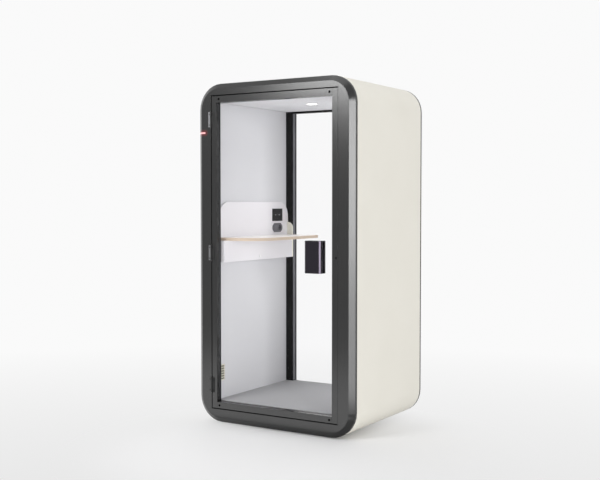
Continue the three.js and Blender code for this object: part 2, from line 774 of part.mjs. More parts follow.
function studPlaces() {
  const x = (handle.x[0] + handle.x[1]) / 2;
  return grow(handle.z, -HANDLE_STUD_END).map((z) => [x, z]);
}

function doorGlazing() {
  const reach = GLASS_BITE - GLASS_EDGE_GAP;
  let glass = block(grow(pane.x, reach), pane.y, grow(pane.z, reach));
  for (const place of studPlaces()) {
    glass = glass.subtract(
      rod(HANDLE_STUD_RADIUS + CLEARANCE, "y", grow(pane.y, OVERCUT), place),
    );
  }
  const pressed = [paneSeat + CLEARANCE, paneSeat + CLEARANCE + GASKET_THICKNESS];
  const beadSpan = [pane.y[1] + CLEARANCE, door.y[1]];
  const bead = ring(pane, GLASS_BITE - CLEARANCE, GLASS_BITE - CLEARANCE, beadSpan);
  return [
    part("door_glass", glass, "glass"),
    part("door_gasket", ring(pane, reach, reach, pressed), "rubber"),
    part("door_bead", bead, "frame"),
  ];
}

// Plan outline of a handle block, from the glass out to its chamfered face.
function handleOutline(glass, face) {
  const inset = Math.sign(glass - face) * HANDLE_CHAMFER;
  const [x0, x1] = handle.x;
  return polygon([
    [x0, glass],
    [x0, face + inset],
    [x0 + HANDLE_CHAMFER, face],
    [x1 - HANDLE_CHAMFER, face],
    [x1, face + inset],
    [x1, glass],
  ]);
}

function handles() {
  const outer = pane.y[0] - CLEARANCE;
  const inner = pane.y[1] + CLEARANCE;
  const gripX = [handle.x[0] - OVERCUT, handle.x[0] + GRIP_DEPTH];
  const gripZ = grow(handle.z, -GRIP_END);
  let pull = prism(handleOutline(outer, outer - HANDLE_OUTER_DEPTH), "z", handle.z);
  pull = pull.subtract(block(gripX, [outer - GRIP_WIDTH, outer + OVERCUT], gripZ));
  let push = prism(handleOutline(inner, inner + HANDLE_INNER_DEPTH), "z", handle.z);
  push = push.subtract(block(gripX, [inner - OVERCUT, inner + GRIP_WIDTH], gripZ));
  for (const place of studPlaces()) {
    const stud = [outer - CLEARANCE, inner + HANDLE_STUD_DEPTH];
    pull = pull.add(rod(HANDLE_STUD_RADIUS, "y", stud, place));
    const bore = [inner - OVERCUT, stud[1] + CLEARANCE];
    push = push.subtract(rod(HANDLE_STUD_RADIUS + CLEARANCE, "y", bore, place));
  }
  return [part("handle_outer", pull, "handle"), part("handle_inner", push, "handle")];
}

function sealAndCatch() {
  const y = [stop[0] - SEAL_PROUD, stop[0] + SEAL_DEPTH - CLEARANCE];
  const seal = ring(opening, -SEAL_INSET, SEAL_WIDTH, y);
  const magnetX = [opening.x[1], opening.x[1] + MAGNET_DEPTH];
  return [
    part("door_seal", seal, "rubber"),
    part("magnet_catch", block(magnetX, magnetY(), magnetZ()), "steel"),
  ];
}

// One hinge about its own pin, which stands on the local z axis: three knuckles, the outer two
// on the frame's leaf and the middle one on the door's.
function hingeAt(name, z) {
  const half = HINGE_HEIGHT / 2;
  const middle = about(0, HINGE_HEIGHT / KNUCKLES);
  const thick = [HINGE_STANDOFF - CLEARANCE - LEAF_THICKNESS, HINGE_STANDOFF - CLEARANCE];
  const near = KNUCKLE_RADIUS + CLEARANCE;
  const ends = [
    [-half, middle[0] - CLEARANCE],
    [middle[1] + CLEARANCE, half],
  ];
  let frameLeaf = block([-FRAME_LEAF_WIDTH, -near], thick, [-half, half]);
  for (const span of ends) {
    frameLeaf = frameLeaf.add(block([-near - OVERCUT, 0], thick, span));
    frameLeaf = frameLeaf.add(rod(KNUCKLE_RADIUS, "z", span, [0, 0]));
  }
  const doorLeaf = block([near, DOOR_LEAF_WIDTH], thick, [-half, half])
    .add(block([0, near + OVERCUT], thick, middle))
    .add(rod(KNUCKLE_RADIUS, "z", middle, [0, 0]));
  const bore = rod(PIN_RADIUS + CLEARANCE, "z", [-HINGE_HEIGHT, HINGE_HEIGHT], [0, 0]);
  const head = half + CLEARANCE;
  const pin = rod(PIN_RADIUS, "z", [-half, head + PIN_HEAD], [0, 0]).add(
    rod(PIN_HEAD_RADIUS, "z", [head, head + PIN_HEAD], [0, 0]),
  );
  const group = new THREE.Group();
  group.position.set(hinge.x, hinge.y, z);
  group.add(part(`hinge_frame_leaf_${name}`, frameLeaf.subtract(bore), "hinge"));
  group.add(part(`hinge_door_leaf_${name}`, doorLeaf.subtract(bore), "hinge"));
  group.add(part(`hinge_pin_${name}`, pin, "steel"));
  return group;
}

function occupancyLight() {
  const bar = prism(lightOutline(LIGHT_PROUD, LIGHT_DEPTH, 0), "z", lightSpan(0));
  return part("occupancy_light", bar, "light");
}

// Desk outline: straight along the upstand, a long round nose by the door, a slightly bowed edge
// and a small round corner at the rear.
function deskOutline() {
  const wall = upstand.x[1] + CLEARANCE;
  const edge = cabin.x[0] + DESK_DEPTH;
  const start = cabin.y[0] + DESK_FRONT_MARGIN;
  const end = cabin.y[1] - DESK_REAR_MARGIN;
  const tail = edge - DESK_TAPER;
  const shape = new THREE.Shape();
  shape.moveTo(wall, start);
  shape.lineTo(edge - DESK_NOSE_WIDTH, start);
  shape.quadraticCurveTo(edge, start, edge, start + DESK_NOSE_LENGTH);
  shape.quadraticCurveTo(edge, (start + end) / 2, tail, end - DESK_CORNER);
  shape.quadraticCurveTo(tail, end, tail - DESK_CORNER, end);
  shape.lineTo(wall, end);
  return shape;
}

// Upstand outline in y and z, with both upper corners rounded.
function upstandOutline() {
  const [y0, y1] = upstand.y;
  const [z0, z1] = upstand.z;
  const shape = new THREE.Shape();
  shape.moveTo(y0, z0);
  shape.lineTo(y1, z0);
  shape.lineTo(y1, z1 - UPSTAND_RADIUS);
  shape.absarc(y1 - UPSTAND_RADIUS, z1 - UPSTAND_RADIUS, UPSTAND_RADIUS, 0, Math.PI / 2);
  shape.lineTo(y0 + UPSTAND_RADIUS, z1);
  shape.absarc(y0 + UPSTAND_RADIUS, z1 - UPSTAND_RADIUS, UPSTAND_RADIUS, Math.PI / 2, Math.PI);
  return shape;
}

function cheekOutline() {
  const x0 = upstand.x[1] + CLEARANCE;
  const x1 = consoleBox.x[1];
  const z1 = deskTop + CHEEK_RISE;
  const shape = new THREE.Shape();
  shape.moveTo(x0, consoleBox.z[0]);
  shape.lineTo(x1, consoleBox.z[0]);
  shape.lineTo(x1, z1 - CHEEK_RADIUS);
  shape.absarc(x1 - CHEEK_RADIUS, z1 - CHEEK_RADIUS, CHEEK_RADIUS, 0, Math.PI / 2);
  shape.lineTo(x0, z1);
  return shape;
}

function deskParts() {
  const behind = upstand.x[0] - OVERCUT;
  const body = prism(upstandOutline(), "x", upstand.x)
    .subtract(moduleBody(behind, CUTOUT_ROOM))
    .subtract(socketBody(behind, CUTOUT_ROOM));
  const cheekSpan = [cabin.y[1] - CHEEK_THICKNESS, cabin.y[1]];
  return [
    part("desk_top", prism(deskOutline(), "z", desk), "desk"),
    part("upstand_panel", body, "panel"),
    part("end_cheek", prism(cheekOutline(), "y", cheekSpan), "cheek"),
  ];
}

function buttonPlace() {
  const { y, z } = consoleBox;
  return [(y[0] + y[1]) / 2, z[0] + BUTTON_RISE];
}

function cableBox() {
  const { x, y, z } = consoleBox;
  const hollow = block([x[0] - OVERCUT, x[1] - BOX_WALL], grow(y, -BOX_WALL), grow(z, -BOX_WALL));
  const hole = [x[1] - BOX_WALL - OVERCUT, x[1] + OVERCUT];
  const body = block(x, y, z)
    .subtract(hollow)
    .subtract(rod(BUTTON_RADIUS + CLEARANCE, "x", hole, buttonPlace()));
  return part("cable_box", body, "panel");
}

function lightButton() {
  const face = consoleBox.x[1];
  const behind = face - BOX_WALL - CLEARANCE;
  const cap = rod(BUTTON_RADIUS, "x", [behind - BUTTON_FLANGE, face + BUTTON_PROUD], buttonPlace());
  const flangeSpan = [behind - BUTTON_FLANGE, behind];
  const flange = rod(BUTTON_RADIUS + BUTTON_FLANGE, "x", flangeSpan, buttonPlace());
  return part("light_button", cap.add(flange), "trim");
}

function deskBrackets() {
  const { x, y, z } = consoleBox;
  const under = z[1] - BOX_WALL - CLEARANCE;
  return ["front", "rear"].map((name, i) => {
    const place = (y[0] + y[1]) / 2 + (i - 1 / 2) * BRACKET_SPACING;
    const width = about(place, BRACKET_WIDTH);
    const plate = [x[0], x[0] + BRACKET_THICKNESS];
    const upright = block(plate, width, [z[0] + BOX_WALL + CLEARANCE, under]);
    const reach = [x[0], x[1] - BOX_WALL - CLEARANCE];
    const arm = block(reach, width, [under - BRACKET_THICKNESS, under]);
    return part(`desk_bracket_${name}`, upright.add(arm), "steel");
  });
}

// The part of the module that sits in the upstand, from its back to the panel's face.
function moduleBody(back, margin) {
  const x = [back, upstand.x[1] + OVERCUT];
  const y = about(moduleY, MODULE_WIDTH - 2 * MODULE_RIM + 2 * margin);
  const z = about(deskTop + MODULE_RISE, MODULE_HEIGHT - 2 * MODULE_RIM + 2 * margin);
  return block(x, y, z);
}

function usbModule() {
  const face = upstand.x[1] + CLEARANCE;
  const height = deskTop + MODULE_RISE;
  const plateX = [face, face + MODULE_PLATE];
  const back = upstand.x[1] - MODULE_BODY;
  let body = block(plateX, about(moduleY, MODULE_WIDTH), about(height, MODULE_HEIGHT));
  body = body.add(moduleBody(back, 0));
  const portX = [back + MODULE_BACK, plateX[1] + OVERCUT];
  for (const side of [-1, 1]) {
    const place = moduleY + (side * PORT_SPACING) / 2;
    body = body.subtract(block(portX, about(place, PORT_WIDTH), about(height, PORT_HEIGHT)));
  }
  return part("usb_module", body, "module");
}

function socketPlace() {
  return [moduleY + SOCKET_OFFSET, deskTop + SOCKET_RISE];
}

// The round cup of the power socket that sits in the upstand, from its back to the panel's face.
function socketBody(back, margin) {
  const radius = SOCKET_RADIUS + SOCKET_WALL + margin;
  return rod(radius, "x", [back, upstand.x[1] + OVERCUT], socketPlace());
}

function powerSocket() {
  const face = [upstand.x[1] + CLEARANCE, upstand.x[1] + CLEARANCE + SOCKET_PLATE];
  const [y0, y1] = about(moduleY, SOCKET_WIDTH);
  const [z0, z1] = about(deskTop + SOCKET_RISE, SOCKET_HEIGHT);
  const outline = polygon([
    [y0 + SOCKET_CORNER, z0],
    [y1 - SOCKET_CORNER, z0],
    [y1, z0 + SOCKET_CORNER],
    [y1, z1 - SOCKET_CORNER],
    [y1 - SOCKET_CORNER, z1],
    [y0 + SOCKET_CORNER, z1],
    [y0, z1 - SOCKET_CORNER],
    [y0, z0 + SOCKET_CORNER],
  ]);
  const cup = [face[1] - SOCKET_DEPTH, face[1] + OVERCUT];
  const [y, z] = socketPlace();
  let body = prism(outline, "x", face).add(socketBody(cup[0] - SOCKET_WALL, 0));
  body = body.subtract(rod(SOCKET_RADIUS, "x", cup, [y, z]));
  for (const side of [-1, 1]) {
    const place = [y + (side * SOCKET_PIN_SPACING) / 2, z];
    const pinHole = [cup[0] - SOCKET_WALL - OVERCUT, cup[1]];
    body = body.subtract(rod(SOCKET_PIN_RADIUS, "x", pinHole, place));
  }
  return part("power_socket", body, "socket");
}

function downlightPlace() {
  return [(cabin.x[0] + cabin.x[1]) / 2, (cabin.y[0] + cabin.y[1]) / 2];
}

function downlight() {
  const place = downlightPlace();
  const under = cabin.z[1] - CLEARANCE;
  const flange = [under - DOWNLIGHT_FLANGE, under];
  const sleeve = [under - DOWNLIGHT_FLANGE, ceiling[1]];
  const bezel = rod(DOWNLIGHT_RADIUS, "z", flange, place)
    .add(rod(DOWNLIGHT_SLEEVE, "z", sleeve, place))
    .subtract(rod(DOWNLIGHT_LIP, "z", grow(sleeve, OVERCUT), place))
    .subtract(
      rod(DOWNLIGHT_SLEEVE - DOWNLIGHT_WALL, "z", [under, ceiling[1] + OVERCUT], place),
    );
  const seat = under + CLEARANCE;
  const disc = DOWNLIGHT_SLEEVE - DOWNLIGHT_WALL - CLEARANCE;
  const diffuser = rod(disc, "z", [seat, seat + DIFFUSER_THICKNESS], place);
  return [part("downlight_bezel", bezel, "trim"), part("downlight_diffuser", diffuser, "diffuser")];
}

// The exhaust fan, about its own shaft and standing on z = 0.
function exhaustFan() {
  const square = about(0, FAN_SIZE);
  const height = [0, FAN_THICKNESS];
  let housing = block(square, square, height).subtract(
    rod(FAN_RADIUS, "z", grow(height, OVERCUT), [0, 0]),
  );
  housing = housing.add(rod(FAN_HUB_RADIUS, "z", [0, FAN_BASE_HEIGHT], [0, 0]));
  for (let i = 0; i < FAN_STRUTS; i += 1) {
    const strut = new THREE.BoxGeometry(FAN_RADIUS + OVERCUT, FAN_STRUT_WIDTH, FAN_BASE_HEIGHT);
    strut.translate((FAN_RADIUS + OVERCUT) / 2, 0, FAN_BASE_HEIGHT / 2);
    strut.rotateZ((i * 2 * Math.PI) / FAN_STRUTS);
    housing = housing.add(solid(strut));
  }
  const hub = [FAN_BASE_HEIGHT + CLEARANCE, FAN_BASE_HEIGHT + CLEARANCE + FAN_HUB_HEIGHT];
  housing = housing.add(rod(FAN_SHAFT_RADIUS, "z", [0, hub[1] - OVERCUT], [0, 0]));
  let rotor = rod(FAN_HUB_RADIUS, "z", hub, [0, 0]);
  const tip = FAN_RADIUS - FAN_TIP_GAP;
  const root = FAN_HUB_RADIUS - OVERCUT;
  for (let i = 0; i < FAN_BLADES; i += 1) {
    const blade = new THREE.BoxGeometry(tip - root, FAN_BLADE_CHORD, FAN_BLADE_THICKNESS);
    blade.rotateX(FAN_BLADE_PITCH);
    blade.translate((tip + root) / 2, 0, (hub[0] + hub[1]) / 2);
    blade.rotateZ((i * 2 * Math.PI) / FAN_BLADES);
    rotor = rotor.add(solid(blade));
  }
  const bore = [hub[0] - OVERCUT, hub[1] - OVERCUT + CLEARANCE];
  rotor = rotor.subtract(rod(FAN_SHAFT_RADIUS + CLEARANCE, "z", bore, [0, 0]));
  const group = new THREE.Group();
  group.position.set(fan.x, fan.y, fan.z);
  group.add(part("fan_housing", housing, "module"));
  group.add(part("fan_rotor", rotor, "socket"));
  return group;
}

function powerSupply() {
  const z = [ceiling[1] + CLEARANCE, ceiling[1] + CLEARANCE + SUPPLY_HEIGHT];
  const body = block(about(supply.x, SUPPLY_LENGTH), about(supply.y, SUPPLY_WIDTH), z);
  return part("power_supply", body, "steel");
}

// The mains inlet's flange, let into the roof, larger all round by a margin.
function inletFlange(margin, z) {
  const x = about(inlet.x, INLET_WIDTH + 2 * margin);
  return block(x, about(inlet.y, INLET_LENGTH + 2 * margin), z);
}

// The inlet's case under its flange, from its floor up to a level.
function inletCase(margin, level) {
  const x = about(inlet.x, INLET_CASE_WIDTH + 2 * margin);
  const y = about(inlet.y, INLET_CASE_LENGTH + 2 * margin);
  return block(x, y, [top - INLET_DEPTH - margin, level]);
}

function powerInlet() {
  const flange = inletFlange(0, [top - INLET_FLANGE, top]);
  const recess = [top - INLET_RECESS, top + OVERCUT];
  const width = about(inlet.x, INLET_CASE_WIDTH - 2 * INLET_WALL);
  const length = about(inlet.y, INLET_CASE_LENGTH - 2 * INLET_WALL);
  let body = inletCase(0, top).add(flange).subtract(block(width, length, recess));
  for (const side of [-1, 0, 1]) {
    const place = [inlet.x + side * INLET_PIN_SPACING, inlet.y];
    const pin = [recess[0] - INLET_WALL, recess[0] + INLET_PIN_HEIGHT];
    body = body.add(rod(INLET_PIN_RADIUS, "z", pin, place));
  }
  return part("power_inlet", body, "module");
}

function levellingFoot({ name, x, y }) {
  const body = rod(FOOT_RADIUS, "z", [0, FOOT_DISC], [0, 0]).add(
    rod(FOOT_STEM_RADIUS, "z", [0, FOOT_DISC + FOOT_STEM_LENGTH], [0, 0]),
  );
  const mesh = part(name, body, "rubber");
  mesh.position.set(x, y, 0);
  return mesh;
}

const pod = new THREE.Group();
pod.add(frontFrame(), rearFrame(), ...rearGlazing());
pod.add(...shellSkins(), ...wallCores(), roofCore(), ...floorParts(), ...linings());
pod.add(...doorMembers(), ...doorGlazing(), ...handles(), ...sealAndCatch());
["lower", "middle", "upper"].forEach((name, i) => pod.add(hingeAt(name, hinge.z[i])));
pod.add(occupancyLight(), ...deskParts(), cableBox(), lightButton(), ...deskBrackets());
pod.add(usbModule(), powerSocket(), ventGrille(), ...downlight());
pod.add(exhaustFan(), powerSupply(), powerInlet());
pod.add(...footPlaces.map(levellingFoot));

export default pod;
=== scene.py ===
"""The looks of a single-person acoustic pod, built around its fixed frame. Metres, +Z up."""
import json
import math

import bmesh
import bpy
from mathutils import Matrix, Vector, noise


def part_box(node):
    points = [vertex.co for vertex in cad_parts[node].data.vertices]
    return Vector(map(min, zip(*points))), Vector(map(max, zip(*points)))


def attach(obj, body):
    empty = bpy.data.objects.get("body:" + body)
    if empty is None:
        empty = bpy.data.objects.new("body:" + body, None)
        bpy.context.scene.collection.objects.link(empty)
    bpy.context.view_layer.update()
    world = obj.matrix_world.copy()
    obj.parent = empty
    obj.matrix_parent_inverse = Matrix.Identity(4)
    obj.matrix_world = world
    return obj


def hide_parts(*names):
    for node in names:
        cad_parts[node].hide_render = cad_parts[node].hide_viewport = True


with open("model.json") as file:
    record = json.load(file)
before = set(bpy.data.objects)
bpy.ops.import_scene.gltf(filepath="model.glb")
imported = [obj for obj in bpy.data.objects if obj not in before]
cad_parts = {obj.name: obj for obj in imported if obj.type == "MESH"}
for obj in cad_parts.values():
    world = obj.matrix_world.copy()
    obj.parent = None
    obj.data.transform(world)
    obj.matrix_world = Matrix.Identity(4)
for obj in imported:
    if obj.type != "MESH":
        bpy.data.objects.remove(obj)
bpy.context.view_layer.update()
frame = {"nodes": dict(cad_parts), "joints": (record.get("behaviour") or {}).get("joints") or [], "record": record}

# What the frame says of its nodes and of the door's hinge
SLOT_OF = {part["node"]: part["material_slot"] for part in frame["record"]["subparts"]}
BODY_OF = {node: body for body, nodes in frame["record"]["behaviour"]["bodies"].items() for node in nodes}
HINGE_PLACE = next(joint["pos_m"] for joint in frame["joints"] if joint["name"] == "door_hinge")

# Camera: place, heading from +Y towards -X, tilt below the horizon, and lens on a 36 mm sensor
CAMERA_PLACE = (3.412, -5.6552, 1.4403)
CAMERA_YAW = 31.7666
CAMERA_PITCH = 2.1887
CAMERA_LENS = 59.522

# Directions
RIGHT = Vector((1, 0, 0))
BACK = Vector((0, 1, 0))
UP = Vector((0, 0, 1))
FORWARD = Vector((0, -1, 0))

# Mesh work: weld distance, angle below which neighbours are one plane, angle that is an edge,
# steps round a circle and over a rounded edge
WELD = 1e-6
FLAT_ANGLE = math.radians(1)
EDGE_ANGLE = math.radians(25)
ROUND_STEPS = 32
ROUNDING_STEPS = 2

# How much of a face's normal lies along an axis: turned to it, mostly, slantwise, edge-on
TURNED = 0.9
MOSTLY = 0.5
SLANTWISE = 0.3
EDGE_ON = 0.1

# Edge radius of the pieces in each of the record's slots
EDGE_RADIUS = {
    "frame_coat": 0.0009,
    "shell_coat": 0.0008,
    "core_foam": 0.001,
    "deck_board": 0.0008,
    "wall_felt": 0.003,
    "carpet": 0.0025,
    "clear_glass": 0.0006,
    "black_rubber": 0.0003,
    "hinge_steel": 0.0004,
    "bare_steel": 0.0004,
    "handle_coat": 0.0008,
    "red_light": 0.0005,
    "desk_board": 0.0012,
    "white_panel": 0.0012,
    "end_panel": 0.0012,
    "black_plastic": 0.0008,
    "grey_plastic": 0.001,
    "white_trim": 0.0006,
    "opal_plastic": 0.0005,
    "vent_paint": 0.0005,
}
# Nodes shut inside the body, which keep their own mesh
ENCLOSED = ("core_left", "core_right", "core_base", "desk_bracket_", "power_supply", "fan_")
# Nodes that have a function of their own below
OWN = ("front_frame", "rear_frame", "rear_bead", "door_stile_", "door_rail_", "door_gasket", "hinge_",
       "floor_deck", "core_roof", "carpet", "desk_top", "vent_grille", "handle_outer")

# Room round the door's seal that takes in the gap's walls
SEAL_EDGE = 0.006
# How close to a box's side a face counts as its edge
EDGE_REACH = 0.0005
# Distance from the middle within which a sideways face is in the rear window
REVEAL_REACH = 0.45

# Screws: radii, places from the edges of what they hold, and the shape of their heads
RAIL_SCREW_RADIUS = 0.0078
RAIL_SCREW_SIDE = 0.018
STILE_SCREW_RADIUS = 0.0055
STILE_SCREW_EDGE = 0.0095
LEAF_SCREW_RADIUS = 0.0036
LEAF_SCREW_END = 0.014
SCREW_RECESS = 0.003
SCREW_PROUD = 0.0012
SCREW_TOP_SHARE = 0.86
SCREW_ROUNDING_SHARE = 0.04
HEX_SHARE = 0.5
HEX_FLOOR = 0.0002

# Hinges: how far the leaves' face lies behind the pin's axis, the knuckles' size, and the leaves' coats
HINGE_HEIGHTS = ("lower", "middle", "upper")
LEAF_FACE = 0.0002
KNUCKLE_REACH = 0.0065
KNUCKLE_WIDTH = 0.012
# The hinges are alike: the upper frame leaves' bright steel is a painted highlight, and the lowest hinge's darker
# coats are painted shade
HIGHLIT_LEAF_COATS = {"frame": "hinge_steel", "door": "frame_coat"}
SHADED_LOWEST_LEAF_COATS = {"frame": "frame_coat", "door": "rear_shade_coat"}

# Strip that closes the gap beside the lock stile, flush with the door's face, painted light in place of the gap's
# shade
LOCK_STRIP_WIDTH = 0.0026
LOCK_STRIP_DEPTH = 0.002
LOCK_STRIP_ROUNDING = 0.0002

# Black strips along the door's upper and lower edges, painted shade that widens the gap's dark line
EDGE_STRIP_WIDTH = 0.0026
EDGE_STRIP_PROUD = 0.0004
EDGE_STRIP_END = 0.006
EDGE_STRIP_ROUNDING = 0.0001

# Dust filter behind the vent's slots
FILTER_THICKNESS = 0.003
FILTER_SETBACK = 0.0015
FILTER_MARGIN = 0.0072
FILTER_ROUNDING = 0.0003

# Ports of the power module, each a shell with a tongue in it
PORT_SPACING = 0.05
PORT_WIDTH = 0.014
PORT_HEIGHT = 0.007
PORT_CLEARANCE = 0.0001
PORT_WALL = 0.0006
PORT_BACK = 0.001
PORT_DEPTH = 0.012
PORT_SETBACK = 0.0005
PORT_ROUNDING = 0.0001
TONGUE_WIDTH = 0.0105
TONGUE_HEIGHT = 0.0018
TONGUE_RISE = 0.0008
TONGUE_SETBACK = 0.002
TONGUE_ROUNDING = 0.0002

# Blanking disc beside the socket's cup, its profile as shares of the radius and heights over the face
BLANK_RADIUS = 0.017
BLANK_OFFSET = 0.03
BLANK_PROFILE = ((1.0, -0.002), (1.0, 0.0006), (0.92, 0.0012), (0.4, 0.00144))

# Carpet pile
PILE_STEP = 0.012
PILE_HEIGHT = 0.0006
PILE_SCALE = 90.0

# Red glow painted on the front frame beside the light bar, as emission of its coat
HALO_REACH = 0.028
HALO_STRENGTH = 0.14
HALO_COLOUR = (255, 40, 50)

# Finishes: the part of its range that noise fills, a slow drift of colour, the strength of a coat's
# relief, and a diffuser's dimmest share of its glow
NOISE_RANGE = (0.3, 0.7)
DRIFT_SCALE = 3.0
COAT_RELIEF = 0.3
DIMMEST = 0.95
# Ply: one pair of layers, and one band of a wave texture at scale 1
PLY_LAYERS = 0.004
WAVE_BAND = math.pi / 10

# Floor: its shade shows near the pod and fades to an even white, which is paler far away
FLOOR_SIZE = 60.0
FLOOR_COLOUR = (0.85, 0.85, 0.852, 1.0)
FADE_CENTRE = (0.4, -0.8, 0.0)
FADE_RANGE = (0.4, 1.4)
PALE_CENTRE = (1.3, -2.9, 0.0)
PALE_RANGE = (1.5, 6.5)
PALE = 0.8
WHITE = 0.955
# Light of the surroundings
AMBIENT = 0.42

# Row of cards on the floor that the front frame's right bevel mirrors: its origin and the way it runs
CARD_CORNER = Vector((0.57, -0.47, 0.01))
CARD_WAY = Vector((0.787, -0.616, 0.0))
# How many, reach of the first, growth from each to the next, size for a metre of reach, watts a square metre
CARD_COUNT = 10
CARD_START = 1.2
CARD_GROWTH = 1.28
CARD_SHARE = 0.28
CARD_POWER = 23


def tone(colour):
    """A colour written in screen values from 0 to 255, as a linear one, by the sRGB formula."""
    values = [channel / 255 for channel in colour]
    linear = [v / 12.92 if v <= 0.04045 else ((v + 0.055) / 1.055) ** 2.4 for v in values]
    return (*linear, 1.0)


def connect(tree, socket, value):
    """Links a socket to another, or sets its value."""
    if isinstance(value, bpy.types.NodeSocket):
        tree.links.new(value, socket)
    else:
        socket.default_value = value


def add(tree, kind, inputs=None, **settings):
    """A shader node with its settings, and values or links for its inputs."""
    made = tree.nodes.new(kind)
    for name, value in settings.items():
        setattr(made, name, value)
    for name, value in (inputs or {}).items():
        connect(tree, made.inputs[name], value)
    return made


def maths(tree, operation, first, second):
    """The result of an operation on two values."""
    return add(tree, "ShaderNodeMath", {0: first, 1: second}, operation=operation).outputs[0]


def ranged(tree, value, source, target=(0.0, 1.0), interpolation="LINEAR"):
    """A value mapped from one range to another."""
    inputs = {"Value": value}
    inputs["From Min"], inputs["From Max"] = source
    inputs["To Min"], inputs["To Max"] = target
    return add(tree, "ShaderNodeMapRange", inputs, interpolation_type=interpolation).outputs[0]


def new_material(name):
    """A new material, with its tree and its shader."""
    made = bpy.data.materials.new(name)
    made.use_nodes = True
    return made, made.node_tree, made.node_tree.nodes["Principled BSDF"]


def settle(shader, values):
    """Sets a shader's values that are the same all over the surface."""
    for socket, value in values.items():
        shader.inputs[socket].default_value = value


def place(tree, stretch=(1, 1, 1)):
    """Where a point lies on the object, in metres, scaled along each axis."""
    coordinates = add(tree, "ShaderNodeTexCoord").outputs["Object"]
    scaled = add(tree, "ShaderNodeVectorMath", {0: coordinates, 1: stretch}, operation="MULTIPLY")
    return scaled.outputs[0]


def distance(tree, spot):
    """How far a point lies from a spot."""
    ends = {0: place(tree), 1: spot}
    return add(tree, "ShaderNodeVectorMath", ends, operation="DISTANCE").outputs["Value"]


def grain(tree, scale, detail=3.0, stretch=(1, 1, 1)):
    """Noise of a size, from 0 to 1."""
    inputs = {"Vector": place(tree, stretch), "Scale": scale, "Detail": detail}
    return add(tree, "ShaderNodeTexNoise", inputs).outputs[0]


def span(tree, value, low, high):
    """Noise mapped to a range."""
    return ranged(tree, value, NOISE_RANGE, (low, high))


def tones(tree, value, dark, light):
    """A colour between two screen colours, by noise."""
    ramp = add(tree, "ShaderNodeValToRGB", {"Fac": value})
    for element, position, colour in zip(ramp.color_ramp.elements, NOISE_RANGE, (dark, light)):
        element.position = position
        element.color = tone(colour)
    return ramp.outputs["Color"]


def average(tree, first, second):
    """The middle of two values."""
    return maths(tree, "MULTIPLY", maths(tree, "ADD", first, second), 0.5)


def relief(tree, shader, height, strength, depth):
    """A small relief on the surface."""
    inputs = {"Height": height, "Strength": strength, "Distance": depth}
    connect(tree, shader.inputs["Normal"], add(tree, "ShaderNodeBump", inputs).outputs[0])


def surface(name, dark, light, roughness, scale, depth, stretch=(1, 1, 1), fixed=None):
    """A material whose colour, roughness and relief follow a fine grain and a slow drift."""
    made, tree, shader = new_material(name)
    fine = grain(tree, scale, stretch=stretch)
    drift = grain(tree, DRIFT_SCALE, detail=2.0)
    connect(tree, shader.inputs["Base Color"], tones(tree, average(tree, fine, drift), dark, light))
    connect(tree, shader.inputs["Roughness"], span(tree, fine, *roughness))
    relief(tree, shader, fine, COAT_RELIEF, depth)
    settle(shader, fixed or {})
    return made


def brushed(name, dark, light, roughness, stretch):
    """A metal with fine lines drawn out along one way."""
    fixed = {"Metallic": 1.0}
    return surface(name, dark, light, roughness, scale=900, depth=0.00005, stretch=stretch, fixed=fixed)


def glowing(name, colour, glow, strength):
    """A lit diffuser, a little uneven."""
    made, tree, shader = new_material(name)
    uneven = grain(tree, scale=120, detail=2.0)
    settle(shader, {"Base Color": tone(colour), "Roughness": 0.4, "Emission Color": tone(glow)})
    connect(tree, shader.inputs["Emission Strength"], span(tree, uneven, DIMMEST * strength, strength))
    return made


def frame_coat(name="frame_coat"):
    """Satin charcoal coat of the frames and the door."""
    fixed = {"Specular IOR Level": 0.46}
    return surface(name, (17, 17, 17), (21, 21, 21),
                   roughness=(0.21, 0.255), scale=1400, depth=0.00006, fixed=fixed)


def front_coat():
    """The same coat on the front frame, with the light bar's red glow painted on it as emission."""
    made = frame_coat("front_coat")
    tree = made.node_tree
    shader = tree.nodes["Principled BSDF"]
    low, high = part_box("occupancy_light")
    apart = add(tree, "ShaderNodeSeparateXYZ", {0: place(tree)}).outputs
    beside = maths(tree, "MAXIMUM", maths(tree, "SUBTRACT", apart["X"], high.x), 0.0)
    above = maths(tree, "SUBTRACT", apart["Z"], (low.z + high.z) / 2)
    offset = add(tree, "ShaderNodeCombineXYZ", {"X": beside, "Z": above}).outputs[0]
    away = add(tree, "ShaderNodeVectorMath", {0: offset}, operation="LENGTH").outputs["Value"]
    glow = ranged(tree, away, (0.0, HALO_REACH), (HALO_STRENGTH, 0.0), "SMOOTHSTEP")
    connect(tree, shader.inputs["Emission Strength"], glow)
    settle(shader, {"Emission Color": tone(HALO_COLOUR)})
    return made


def rear_shade_coat():
    """A darker, duller copy of the frame's coat: painted shade on the rear frame and the lowest door leaf, and the
    coat of the hinges' knuckles.
    """
    fixed = {"Specular IOR Level": 0.24}
    return surface("rear_shade_coat", (14, 14, 14), (18, 18, 18),
                   roughness=(0.4, 0.5), scale=1400, depth=0.00008, fixed=fixed)


def shell_coat():
    """Cream coat of the outer skin."""
    return surface("shell_coat", (223, 220, 210), (227, 224, 215),
                   roughness=(0.5, 0.58), scale=700, depth=0.00008)


def core_foam():
    """Open foam of the acoustic cores."""
    return surface("core_foam", (168, 158, 138), (190, 180, 160),
                   roughness=(0.9, 1.0), scale=240, depth=0.001)


def deck_board():
    """Raw board under the carpet."""
    return surface("deck_board", (170, 138, 98), (204, 172, 130),
                   roughness=(0.6, 0.8), scale=160, depth=0.0003)


